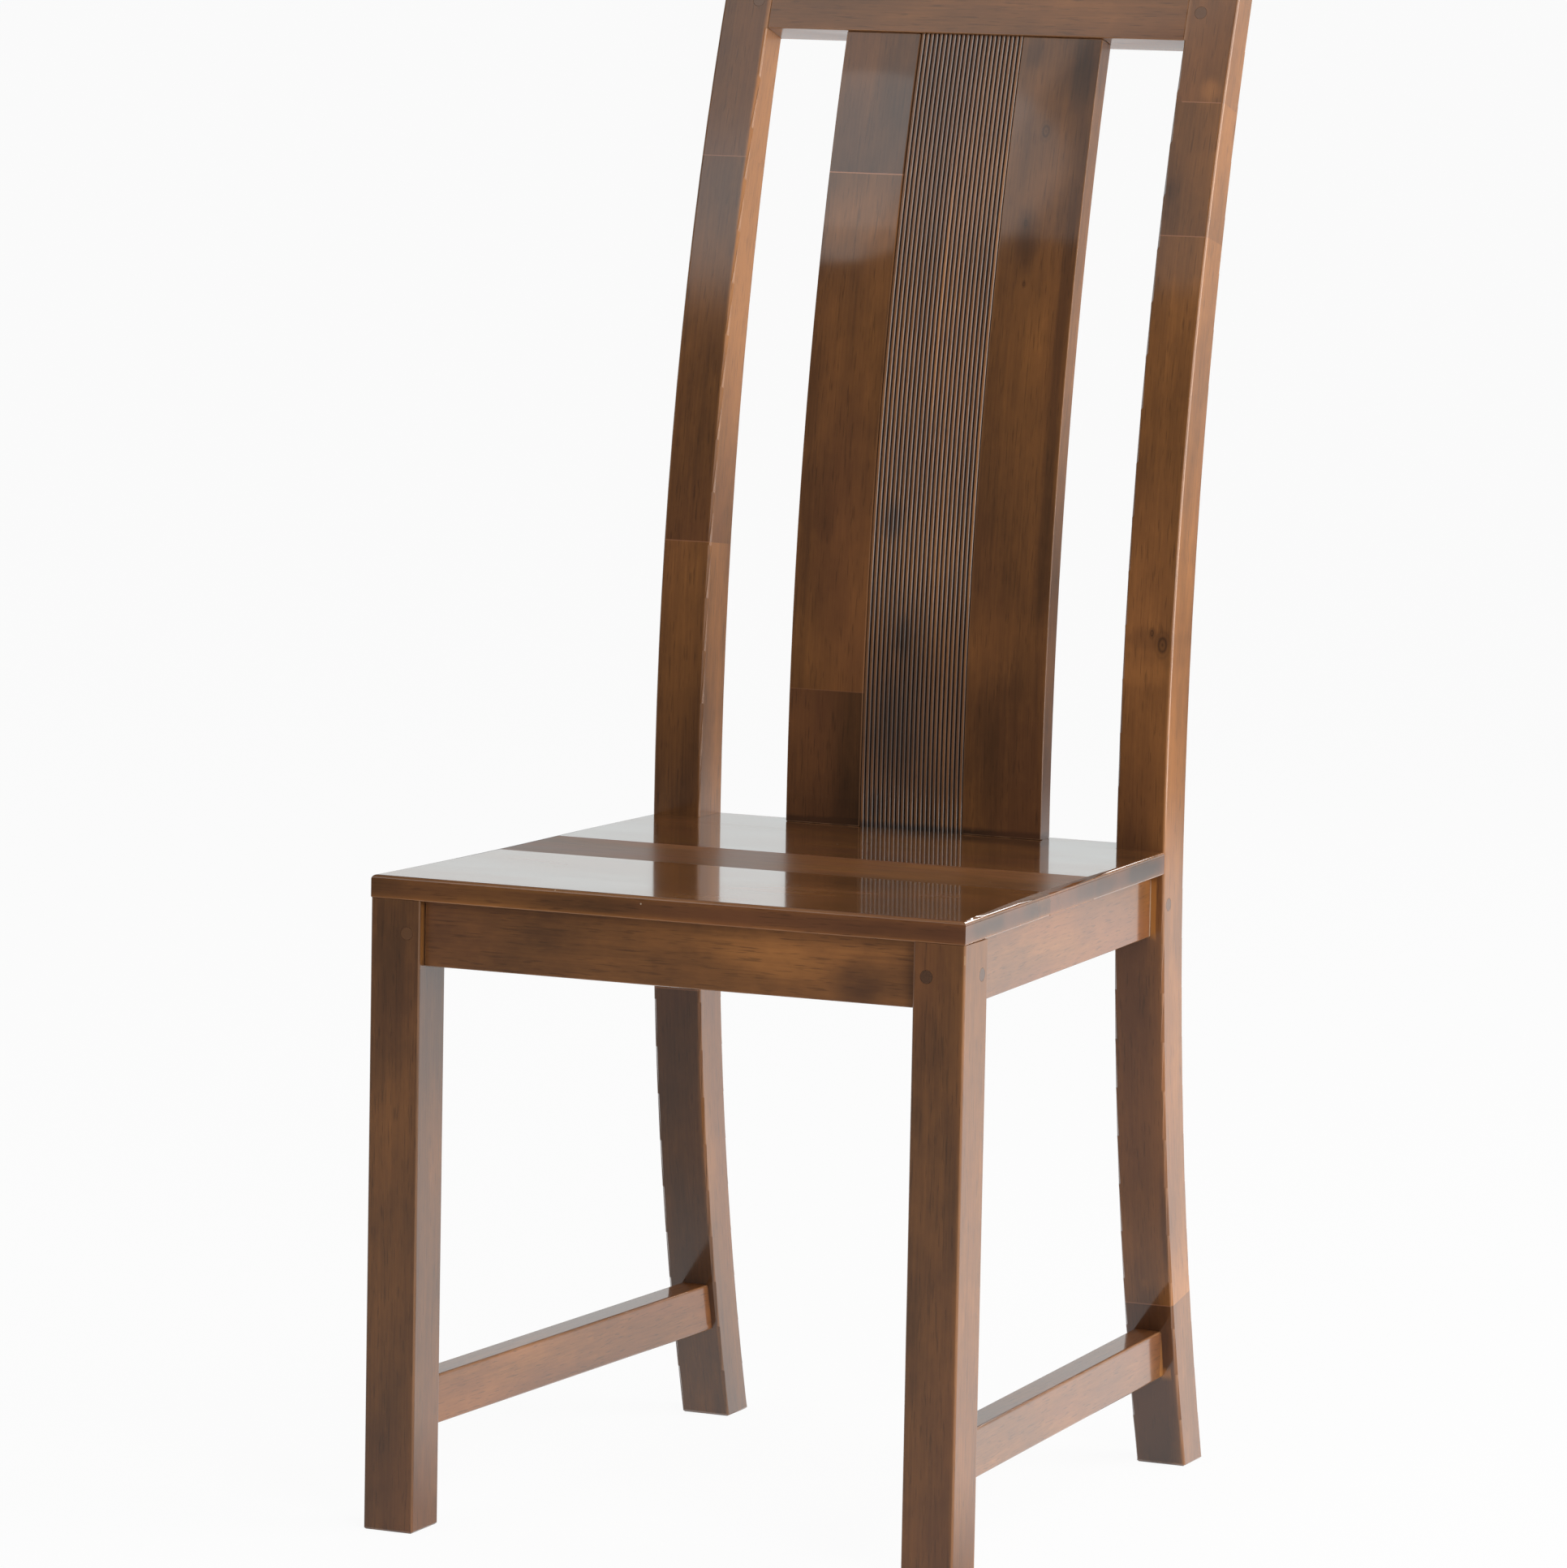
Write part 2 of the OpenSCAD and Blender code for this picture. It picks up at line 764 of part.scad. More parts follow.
module front_block_right() {
    color(hidden_wood) on_centre() corner_block(front_block_plan);
}

module rear_block_left() {
    color(hidden_wood) on_centre() left_side() corner_block(rear_block_plan);
}

module rear_block_right() {
    color(hidden_wood) on_centre() corner_block(rear_block_plan);
}

module front_apron_pegs() {
    color(peg_wood) on_centre() both_sides() front_apron_peg();
}

module front_leg_side_pegs() {
    color(peg_wood) on_centre() both_sides() front_leg_side_peg();
}

module rear_post_side_pegs() {
    color(peg_wood) on_centre() both_sides() rear_post_side_peg();
}

module crest_pegs() {
    color(peg_wood) on_centre() both_sides() crest_peg();
}

front_leg_left();
front_leg_right();
rear_post_left();
rear_post_right();
front_apron();
rear_apron();
side_apron_left();
side_apron_right();
side_stretcher_left();
side_stretcher_right();
crest_rail();
splat_left_board();
splat_reeded_strip();
splat_right_board();
seat_front_board();
seat_middle_board();
seat_rear_board();
front_block_left();
front_block_right();
rear_block_left();
rear_block_right();
block_screws();
seat_screws();
front_apron_pegs();
front_leg_side_pegs();
rear_post_side_pegs();
crest_pegs();
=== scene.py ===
"""High-back dining chair with a reeded splat: lacquered woods, studio, lamps and camera."""
import math

import bmesh
import bpy
from bpy.props import FloatProperty, FloatVectorProperty, PointerProperty
from mathutils import Matrix, Quaternion, Vector


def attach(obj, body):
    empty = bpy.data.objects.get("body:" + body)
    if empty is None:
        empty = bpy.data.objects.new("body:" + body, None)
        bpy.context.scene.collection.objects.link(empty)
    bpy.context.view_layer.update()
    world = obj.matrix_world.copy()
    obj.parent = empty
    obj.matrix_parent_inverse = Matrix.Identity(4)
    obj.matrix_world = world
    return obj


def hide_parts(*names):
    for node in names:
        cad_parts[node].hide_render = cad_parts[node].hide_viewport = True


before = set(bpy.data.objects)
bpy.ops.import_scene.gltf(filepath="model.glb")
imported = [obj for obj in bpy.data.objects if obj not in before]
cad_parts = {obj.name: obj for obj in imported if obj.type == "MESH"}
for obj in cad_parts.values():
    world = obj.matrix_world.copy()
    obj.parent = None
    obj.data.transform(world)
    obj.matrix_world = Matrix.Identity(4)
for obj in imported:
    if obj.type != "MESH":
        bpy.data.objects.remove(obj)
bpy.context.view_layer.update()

bl_info = {
    "name": "Pegged Dining Chair",
    "version": (1, 0, 0),
    "blender": (4, 5, 0),
    "location": "3D View > Sidebar > Chair",
    "description": "Lacquers the pieces of a high-back dining chair and sets it in a pale studio",
    "category": "Object",
}

# Sizes are in metres. The long curves of the back run round axes at these depths (y) and at
# the level of the bend; their radii are those of the front faces
BEND_LEVEL = 0.466
POST_AXIS = 1.91385
POST_RADIUS = 1.775
SPLAT_AXIS = 2.13285
SPLAT_RADIUS = 1.9812
CREST_TURN = math.radians(18.709)
SEAT_TOP = 0.460

# Reeded strip of the splat
REEDS = 23
REED_LEFT = -0.042
REED_RIGHT = 0.039
REED_GAP = 0.0001
REED_DEPTH = 0.00171
STRIP_THICKNESS = 0.017
TONGUE_THICKNESS = 0.008
SEAT_TONGUE = 0.009
CREST_TONGUE = 0.012
BOW_STEPS = 64
REED_FACETS = 8
START_TURN = 0.012

# Arcs of a post's front and back faces, (axis, radius), above the bend and below it
POST_ARCS = {True: ((POST_AXIS, POST_RADIUS), (SPLAT_AXIS, 1.956)),
             False: ((1.73185, 1.593), (1.82385, 1.647))}
POST_MIDDLE = 0.1835
POST_HALF = 0.019
POST_ROUND = 0.002

# An edge is shaded sharp past the first angle, on the seat past the second, and eased past
# the third. Faces that turn by less than the fourth are joined, and so are points that lie
# nearer than the merge distance
SMOOTH_LIMIT = math.radians(32)
SEAT_CREASE = math.radians(10.5)
EASE_LIMIT = math.radians(48)
FLAT_LIMIT = math.radians(0.03)
MERGE_DISTANCE = 2e-6
CUT_DISTANCE = 1e-7
BLOCK_EASE = 0.0008

# A face whose normal keeps below this along every axis is slanted, and takes the edge colour:
# partly real wear, partly a painted highlight
SLANT_LIMIT = 0.9

# Faces of the seat narrower than this belong to its rounds. The normals of the round along
# its side rise between the next two and turn aside by more than the third
NARROW_FACE = 0.0012
ROUND_SLOPE = (0.05, 0.9)
ROUND_ASIDE = 0.1

# The normals of the seat's eased band rise between these two, and its lower side turns this
# far aside and up
BAND_SLOPE = (0.9, 0.995)
BAND_TURN = (0.5, 0.866)

# A post's face larger than this keeps its own normal where the skin turns away from it
LARGE_FACE = 1e-6
SKIN_AGREES = 0.72

# An end face of the reeded strip is larger than this and square to its way. Before it is
# cut up for the tongue it has more corners than this
END_FACE = 1e-5
SQUARE_ON = 0.9999
END_CORNERS = 50

# Steps through the noise from one piece of wood to the next, and from stave to stave
SEED_STEP = (0.731, 1.377, 2.113)
STAVE_STEP = (31.0, 17.0, 23.0)
GLUE_HALF = 0.0004

WHITE = (1.0, 1.0, 1.0, 1.0)
MIRROR_WHITE = (0.96, 1.0, 1.0, 1.0)


# Shader building


class Nodes:
    """Node tree; numbers and sockets can be mixed freely in its calls."""

    def __init__(self, tree):
        self.tree = tree
        self.tree.nodes.clear()

    def node(self, kind, *values, **settings):
        made = self.tree.nodes.new("ShaderNode" + kind)
        for key, value in settings.items():
            setattr(made, key, value)
        for socket, value in zip(made.inputs, values):
            self.feed(socket, value)
        return made

    def feed(self, socket, value):
        if isinstance(value, bpy.types.NodeSocket):
            self.tree.links.new(value, socket)
        elif value is not None:
            socket.default_value = value

    def math(self, operation, *values):
        return self.node("Math", *values, operation=operation).outputs[0]

    def vector(self, operation, *values):
        return self.node("VectorMath", *values, operation=operation).outputs[0]

    def join(self, x, y, z):
        return self.node("CombineXYZ", x, y, z).outputs[0]

    def remap(self, value, low, high, to_low=0.0, to_high=1.0, smooth=False):
        made = self.node("MapRange", value, low, high, to_low, to_high, clamp=True)
        if smooth:
            made.interpolation_type = "SMOOTHSTEP"
        return made.outputs[0]


class Finish(Nodes):
    """Node tree of one material, read at its piece's own coordinates."""

    def __init__(self, name):
        self.material = bpy.data.materials.new(name)
        self.material.use_nodes = True
        super().__init__(self.material.node_tree)
        self.object_co = self.node("TexCoord").outputs["Object"]
        self.xyz = self.node("SeparateXYZ", self.object_co).outputs

    def noise(self, place, stretch, detail, roughness):
        scaled = self.vector("MULTIPLY", place, stretch)
        made = self.node("TexNoise")
        self.feed(made.inputs["Vector"], scaled)
        made.inputs["Scale"].default_value = 1.0
        made.inputs["Detail"].default_value = detail
        made.inputs["Roughness"].default_value = roughness
        return made.outputs["Fac"]

    def ramp(self, value, stops):
        made = self.node("ValToRGB", value)
        band = made.color_ramp
        while len(band.elements) < len(stops):
            band.elements.new(1.0)
        for element, (position, colour) in zip(band.elements, stops):
            element.position = position
            element.color = (*colour, 1.0)
        return made.outputs["Color"]

    def blend(self, factor, first, second):
        """Mix of two colours, each a socket or three numbers."""
        made = self.node("Mix", factor, data_type="RGBA", blend_type="MIX", clamp_factor=True)
        for socket, colour in zip(made.inputs[6:8], (first, second)):
            live = isinstance(colour, bpy.types.NodeSocket)
            self.feed(socket, colour if live else (*colour, 1.0))
        return made.outputs[2]

    def wear_and_highlight(self):
        """How far the piece is rounded or rubbed at an edge, from its own attribute."""
        # The edge colour laid by this mask is partly real wear and partly a painted highlight
        made = self.node("Attribute", attribute_type="GEOMETRY", attribute_name="wear_and_highlight")
        return made.outputs["Fac"]

    def lacquer(self, colour, roughness, coat, coat_roughness, relief, relief_depth,
                metal=0.0, specular=0.35, coat_ior=1.5):
        """Finish the tree with a coated shell and give its material."""
        shell = self.node("BsdfPrincipled")
        self.feed(shell.inputs["Base Color"], colour)
        self.feed(shell.inputs["Roughness"], roughness)
        shell.inputs["Metallic"].default_value = metal
        shell.inputs["Specular IOR Level"].default_value = specular
        shell.inputs["Coat Weight"].default_value = coat
        shell.inputs["Coat Roughness"].default_value = coat_roughness
        shell.inputs["Coat IOR"].default_value = coat_ior
        bump = self.node("Bump")
        bump.inputs["Strength"].default_value = 1.0
        bump.inputs["Distance"].default_value = relief_depth
        self.feed(bump.inputs["Height"], relief)
        self.feed(shell.inputs["Normal"], bump.outputs[0])
        self.node("OutputMaterial", shell.outputs[0])
        return self.material


def grain_place(finish, grain, seed):
    """Position in the wood: across, into it and along its grain, the last also by itself."""
    x, y, z = finish.xyz
    if grain in ("post", "splat"):
        axis, radius = ((POST_AXIS, POST_RADIUS) if grain == "post"
                        else (SPLAT_AXIS, SPLAT_RADIUS))
        back = finish.math("SUBTRACT", axis, y)
        rise = finish.math("SUBTRACT", z, BEND_LEVEL)
        angle = finish.math("ARCTAN2", rise, back)
        reach = finish.math("SQRT", finish.math(
            "ADD", finish.math("MULTIPLY", back, back), finish.math("MULTIPLY", rise, rise)))
        along = finish.math("MULTIPLY", angle, radius)
        across, depth = x, finish.math("SUBTRACT", reach, radius)
    else:
        across, depth, along = {"X": (z, y, x), "Y": (x, z, y), "Z": (x, y, z)}[grain]
    place = finish.vector("ADD", finish.join(across, depth, along),
                          tuple(seed * step for step in SEED_STEP))
    return place, across, depth, along


def wood(name, grain, seed, look, staves=(), lines=(), knots=(), patches=(), stains=()):
    """Lacquered wood. Its look can be changed by name: the tone from 0 dark to 1 bright, the
    share of each layer of figure in it, and the lacquer. staves are (start along the grain,
    tone); lines are glue joints at (along, from across, to across, strength); knots are
    (across, along, radius); patches are (across, along, half width, half length, tone);
    stains are (centre, half size, colour, strength)."""
    stain = bpy.context.scene.chair_stain
    finish = Finish(name)
    place, across, depth, along = grain_place(finish, grain, seed)
    tone = look.get("tone", 0.5)
    if staves:
        shade = staves[0][1]
        for (start, after), (_, before) in zip(staves[1:], staves):
            shade = finish.math("MULTIPLY_ADD", finish.math("GREATER_THAN", along, start),
                                after - before, shade)
        tone = finish.math("ADD", shade, tone)
        place = finish.vector("ADD", place, finish.vector(
            "SCALE", STAVE_STEP, None, None, shade))

    cloud = finish.noise(place, (17.0, 17.0, 6.5), 2.0, 0.5)
    mottle = finish.noise(place, (95.0, 95.0, 48.0), 3.0, 0.6)
    streak = finish.noise(place, (130.0, 130.0, 3.2), 3.0, 0.6)
    fibre = finish.noise(place, (620.0, 620.0, 20.0), 2.0, 0.6)
    dash = finish.noise(place, (900.0, 900.0, look.get("dash", 55.0)), 1.0, 0.5)
    warm = finish.noise(place, (9.0, 21.0, 3.4), 2.0, 0.5)
    for layer, key, usual in ((cloud, "cloud", 0.75), (mottle, "mottle", 0.22),
                              (streak, "streak", 0.26), (fibre, "fibre", 0.24)):
        tone = finish.math("MULTIPLY_ADD", finish.math("SUBTRACT", layer, 0.5),
                           look.get(key, usual), tone)
    for at_across, at_along, wide, long_, shift in patches:
        spot = finish.join(
            finish.math("DIVIDE", finish.math("SUBTRACT", across, at_across), wide),
            finish.math("DIVIDE", finish.math("SUBTRACT", along, at_along), long_),
            finish.math("MULTIPLY", finish.math("SUBTRACT", mottle, 0.5), 1.4))
        reach = finish.node("VectorMath", spot, operation="LENGTH").outputs["Value"]
        tone = finish.math("MULTIPLY_ADD", finish.remap(reach, 1.15, 0.2, smooth=True), shift,
                           tone)

    colour = finish.ramp(tone, ((0.0, stain.deep), (0.33, stain.dark), (0.62, stain.body),
                                (1.0, stain.bright)))
    colour = finish.blend(finish.math("MULTIPLY", finish.remap(warm, 0.44, 0.64),
                                      look.get("red", 0.25)), colour, stain.red)
    pores = finish.remap(dash, 0.61, 0.70)
    colour = finish.blend(finish.math("MULTIPLY", pores, look.get("pores", 0.38)), colour,
                          stain.deep)
    for at_across, at_along, radius in knots:
        spot = finish.join(
            finish.math("SUBTRACT", across, at_across),
            finish.math("MULTIPLY", finish.math("SUBTRACT", along, at_along), 0.6),
            finish.math("MULTIPLY", finish.math("SUBTRACT", mottle, 0.5), radius))
        reach = finish.node("VectorMath", spot, operation="LENGTH").outputs["Value"]
        ring = finish.math("PINGPONG", finish.math("MULTIPLY", reach, 1.7), radius * 0.5)
        mask = finish.math(
            "MULTIPLY", finish.remap(reach, radius * 1.6, radius * 0.3, smooth=True),
            finish.remap(ring, 0.0, radius * 0.4, 0.9, 0.35))
        colour = finish.blend(mask, colour, stain.deep)
    for start, left, right, strength in lines:
        mask = finish.math("COMPARE", along, start, GLUE_HALF)
        middle, half = (left + right) / 2, (right - left) / 2
        mask = finish.math("MULTIPLY", mask, finish.math("COMPARE", across, middle, half))
        colour = finish.blend(finish.math("MULTIPLY", mask, strength), colour, stain.joint)
    for centre, half, shade, strength in stains:
        away = finish.vector("DIVIDE", finish.vector("SUBTRACT", finish.object_co, centre), half)
        away = finish.node("SeparateXYZ", finish.vector("ABSOLUTE", away)).outputs
        reach = finish.math("MAXIMUM", finish.math("MAXIMUM", away[0], away[1]), away[2])
        reach = finish.math("MULTIPLY_ADD", finish.math("SUBTRACT", mottle, 0.5), 0.6, reach)
        colour = finish.blend(finish.remap(reach, 1.1, 0.8, 0.0, strength), colour,
                              getattr(stain, shade))
    # Painted shade: the bottoms of the grooves between reeds darken to near black with their depth
    if look.get("grooved"):
        groove_shade_mask = finish.remap(finish.remap(depth, -REED_DEPTH, 0.0), 0.62, 0.97, 0.97, 0.0)
        front = finish.math("GREATER_THAN", depth, -1.3 * REED_DEPTH)
        colour = finish.blend(finish.math("MULTIPLY", front, groove_shade_mask), colour, stain.groove)
    if look.get("specks"):
        dust = finish.node("TexVoronoi", feature="F1")
        finish.feed(dust.inputs["Vector"], finish.vector("MULTIPLY", finish.object_co,
                                                         (48.0, 48.0, 48.0)))
        dust.inputs["Scale"].default_value = 1.0
        colour = finish.blend(finish.remap(dust.outputs["Distance"], 0.032, 0.018, 0.0,
                                           look["specks"]), colour, stain.dust)

    # Edge colour on rounded and eased edges: partly real wear, partly a painted highlight along
    # them
    edge = finish.math("MULTIPLY", finish.wear_and_highlight(), finish.remap(streak, 0.35, 0.6, 0.1, 0.35))
    colour = finish.blend(edge, colour, stain.edge)

    relief = finish.math("MULTIPLY_ADD", pores, -0.8, finish.math("MULTIPLY", fibre, 0.35))
    rough = look.get("rough", 0.34)
    rough = finish.remap(cloud, 0.3, 0.7, rough - 0.04, rough + 0.05)
    return finish.lacquer(colour, rough, look.get("coat", 1.0), look.get("coat_rough", 0.09),
                          relief, look.get("relief", 0.00003),
                          specular=look.get("specular", 0.15),
                          coat_ior=look.get("coat_ior", 1.5))


# Mesh work


def post_skin(point):
    """Outward way of a post's skin at a point, and how far it lies on a rounded edge."""
    rise = point.z - BEND_LEVEL
    way = Vector()
    for (axis, radius), side in zip(POST_ARCS[rise > 0.0], (1.0, -1.0)):
        spoke = Vector((0.0, point.y - axis, rise))
        inside = (radius - spoke.length) * side
        way += spoke.normalized() * side * max(POST_ROUND - inside, 0.0)
    past = abs(point.x) - POST_MIDDLE
    flank = max(POST_ROUND - POST_HALF + abs(past), 0.0)
    turned = way.length * flank * 2.0 / POST_ROUND ** 2
    way.x = math.copysign(flank, past) * math.copysign(1.0, point.x)
    return way, turned


def seat_ways(mesh):
    """Normals at the corners of a seat board's faces: flat faces stay flat, and the lower
    side of the eased band, where it meets the round of the seat's side, turns over to it."""
    ways = [corner.vector.copy() for corner in mesh.corner_normals]
    rounded = {vert for face in mesh.polygons
               if ROUND_SLOPE[0] < face.normal.z < ROUND_SLOPE[1]
               and abs(face.normal.x) > ROUND_ASIDE
               for vert in face.vertices}
    for face in mesh.polygons:
        half = sum((mesh.vertices[a].co - mesh.vertices[b].co).length
                   for a, b in face.edge_keys) / 2
        if half - math.sqrt(max(half * half - 4 * face.area, 0.0)) < 2 * NARROW_FACE:
            continue
        aside = math.copysign(BAND_TURN[0], face.normal.x)
        over = Vector((aside, face.normal.y, BAND_TURN[1])).normalized()
        band = BAND_SLOPE[0] < face.normal.z < BAND_SLOPE[1]
        for corner in face.loop_indices:
            lower = band and mesh.loops[corner].vertex_index in rounded
            ways[corner] = over if lower else face.normal.copy()
    return ways


def eased_copy(node, name, ease, material, shortest=0.004, below=math.inf,
               crease=SMOOTH_LIMIT, skin=None, ways=None):
    """Merged copy of a CAD solid. Its sharp outer edges, if longer than the shortest and
    below a level, are eased by that width. With a skin they stay as the CAD has them, and
    the skin says how far they take the edge colour, partly wear and partly a painted highlight."""
    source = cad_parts[node].data
    shape = bmesh.new()
    shape.from_mesh(source)
    bmesh.ops.remove_doubles(shape, verts=shape.verts, dist=MERGE_DISTANCE)
    bmesh.ops.dissolve_degenerate(shape, edges=shape.edges, dist=MERGE_DISTANCE / 2)
    bmesh.ops.dissolve_limit(shape, angle_limit=FLAT_LIMIT, verts=shape.verts,
                             edges=shape.edges, use_dissolve_boundaries=False)
    if skin:
        mark = shape.verts.layers.float.new("wear_and_highlight")
        for vert in shape.verts:
            vert[mark] = min(skin(vert.co)[1], 1.0)
        return finished(shape, node, name, material, crease, skin)
    mark = shape.faces.layers.float.new("wear_and_highlight")
    for face in shape.faces:
        face[mark] = float(max(abs(c) for c in face.normal) < SLANT_LIMIT)
    if ease:
        sharp = [e for e in shape.edges
                 if len(e.link_faces) == 2 and e.is_convex
                 and e.calc_face_angle(0.0) > EASE_LIMIT and e.calc_length() > shortest
                 and max(v.co.z for v in e.verts) < below]
        done = bmesh.ops.bevel(shape, geom=sharp, offset=ease, offset_type="OFFSET",
                               segments=2, profile=0.5, affect="EDGES", clamp_overlap=False,
                               material=-1)
        for face in done["faces"]:
            face[mark] = 1.0
    return finished(shape, node, name, material, crease, ways=ways)


def finished(shape, node, name, material, crease=SMOOTH_LIMIT, skin=None, ways=None):
    """Object with smooth rounds and crisp edges that stands for a CAD node. Its normals come
    from its skin, or from ways, or else from the faces by their size."""
    for face in shape.faces:
        face.smooth = True
    for edge in shape.edges:
        edge.smooth = len(edge.link_faces) == 2 and edge.calc_face_angle(0.0) < crease
    mesh = bpy.data.meshes.new(name)
    shape.to_mesh(mesh)
    shape.free()
    for attribute in ("custom_normal", "UVMap"):
        if attribute in mesh.attributes:
            mesh.attributes.remove(mesh.attributes[attribute])
    piece = bpy.data.objects.new(name, mesh)
    bpy.context.scene.collection.objects.link(piece)
    mesh.materials.append(material)
    if skin:
        found = [None] * len(mesh.loops)
        for face in mesh.polygons:
            for corner in face.loop_indices:
                way = skin(mesh.vertices[mesh.loops[corner].vertex_index].co)[0]
                flat = way.length < POST_ROUND / 2 or (
                    face.area > LARGE_FACE
                    and way.normalized().dot(face.normal) < SKIN_AGREES)
                found[corner] = face.normal.copy() if flat else way.normalized()
        mesh.normals_split_custom_set(found)
    elif ways:
        mesh.normals_split_custom_set(ways(mesh))
    else:
        flatten = piece.modifiers.new("even shading", "WEIGHTED_NORMAL")
        flatten.keep_sharp = True
        flatten.weight = 80
    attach(piece, "root")
    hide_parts(node)
    return piece


def end_faces(shape, way):
    """Faces at an end of the reeded strip."""
    return [f for f in shape.faces
            if f.normal.dot(way) > SQUARE_ON and f.calc_area() > END_FACE]


def reeded_strip(name, material):
    """Strip of full-length reeds, spun up along the bow of the splat and cut to length, with
    a tongue at each end."""
    shape = bmesh.new()
    pitch = (REED_RIGHT - REED_LEFT) / REEDS
    reach = (pitch - REED_GAP) / 2
    crown = SPLAT_AXIS - SPLAT_RADIUS
    section = [(REED_RIGHT, crown + STRIP_THICKNESS), (REED_LEFT, crown + STRIP_THICKNESS),
               (REED_LEFT, crown + reach)]
    for reed in range(REEDS):
        middle = REED_LEFT + (reed + 0.5) * pitch
        for part in range(REED_FACETS + 1):
            turn = math.pi * part / REED_FACETS
            section.append((middle - reach * math.cos(turn),
                            crown + reach * (1.0 - math.sin(turn))))
    section.append((REED_RIGHT, crown + reach))
    start = Matrix.Rotation(START_TURN, 4, "X")
    centre = Vector((0.0, SPLAT_AXIS, BEND_LEVEL))
    verts = [shape.verts.new(start @ (Vector((x, y, BEND_LEVEL)) - centre) + centre)
             for x, y in section]
    ring = [shape.edges.new((a, b)) for a, b in zip(verts, verts[1:] + verts[:1])]
    bmesh.ops.spin(shape, geom=verts + ring, cent=centre, axis=(-1.0, 0.0, 0.0),
                   angle=START_TURN + CREST_TURN, steps=BOW_STEPS, use_duplicate=False)
    top = Vector((0.0, math.sin(CREST_TURN), math.cos(CREST_TURN)))
    down = Vector((0.0, 0.0, -1.0))
    for place, way in ((Vector((0.0, POST_AXIS, BEND_LEVEL)), top),
                       (Vector((0.0, 0.0, SEAT_TOP)), down)):
        geom = shape.verts[:] + shape.edges[:] + shape.faces[:]
        cut = bmesh.ops.bisect_plane(shape, geom=geom, dist=CUT_DISTANCE, plane_co=place,
                                     plane_no=way, clear_outer=True)
        rim = [e for e in cut["geom_cut"] if isinstance(e, bmesh.types.BMEdge)]
        bmesh.ops.edgeloop_fill(shape, edges=rim)
    bmesh.ops.recalc_face_normals(shape, faces=shape.faces)
    for way, length in ((top, CREST_TONGUE), (down, SEAT_TONGUE)):
        end = max(shape.faces,
                  key=lambda f: (len(f.verts) > END_CORNERS) * f.normal.dot(way))
        across = Vector((0.0, -way.z, way.y)).normalized() * math.copysign(1.0, -way.z)
        back = max(v.co.dot(across) for v in end.verts)
        for inset in ((STRIP_THICKNESS - TONGUE_THICKNESS) / 2,
                      (STRIP_THICKNESS + TONGUE_THICKNESS) / 2):
            geom = list(dict.fromkeys(
                g for f in end_faces(shape, way) for g in (*f.verts, *f.edges, f)))
            bmesh.ops.bisect_plane(shape, geom=geom, dist=CUT_DISTANCE,
                                   plane_co=across * (back - inset), plane_no=across)
        middle = back - STRIP_THICKNESS / 2
        tongue = min(end_faces(shape, way),
                     key=lambda f: abs(f.calc_center_median().dot(across) - middle))
        moved = bmesh.ops.extrude_discrete_faces(shape, faces=[tongue])["faces"][0]
        bmesh.ops.translate(shape, verts=moved.verts, vec=way * length)
    mark = shape.faces.layers.float.new("wear_and_highlight")
    for face in shape.faces:
        face[mark] = 0.0
    return finished(shape, "splat_reeded_strip", name, material)


# Settings


def colour_setting(name, description, default):
    return FloatVectorProperty(name=name, description=description, subtype="COLOR", size=3,
                               min=0.0, max=1.0, default=default)


class ChairStain(bpy.types.PropertyGroup):
    """Colours of the stained and lacquered wood, and of painted groove shade and edge highlight.
    """
    deep: colour_setting("Deep", "Pores, knots and the darkest stain", (0.040, 0.019, 0.009))
    dark: colour_setting("Dark", "Dark streaks of the stain", (0.110, 0.046, 0.017))
    body: colour_setting("Body", "Main colour of the stained wood", (0.220, 0.088, 0.026))
    bright: colour_setting("Bright", "Orange patches of the stain", (0.440, 0.176, 0.048))
    red: colour_setting("Red", "Reddish parts of the stain", (0.225, 0.080, 0.034))
    # Edge: partly wood rubbed through, partly a painted highlight along the rounded edges
    edge: colour_setting("Edge", "Wood rubbed through along the edges", (0.46, 0.24, 0.12))
    joint: colour_setting("Joint", "Glue line between two lengths of wood", (0.50, 0.22, 0.12))
    dust: colour_setting("Dust", "Light specks caught in the lacquer", (0.62, 0.50, 0.38))
    # Painted shade at the bottoms of the grooves between reeds
    groove: colour_setting("Groove", "Bottoms of the grooves between reeds", (0.010, 0.006, 0.004))
    amber: colour_setting("Amber", "Lacquer and glue gathered in corners", (0.52, 0.21, 0.045))
    raw: colour_setting("Raw", "Unfinished wood of the corner blocks", (0.50, 0.34, 0.19))
    steel: colour_setting("Steel", "Plated steel of the screws", (0.62, 0.57, 0.42))


class ChairSizes(bpy.types.PropertyGroup):
    """Small sizes of the finish."""
    rail_ease: FloatProperty(name="Rail edges", description="Easing of the aprons' edges",
                             default=0.0009, min=0.0001, max=0.003, subtype="DISTANCE")
    splat_ease: FloatProperty(name="Splat edges", description="Easing of the splat's edges",
                              default=0.0008, min=0.0001, max=0.003, subtype="DISTANCE")
    seat_ease: FloatProperty(name="Seat edges", description="Easing of the seat's lower edges",
                             default=0.0008, min=0.0001, max=0.003, subtype="DISTANCE")


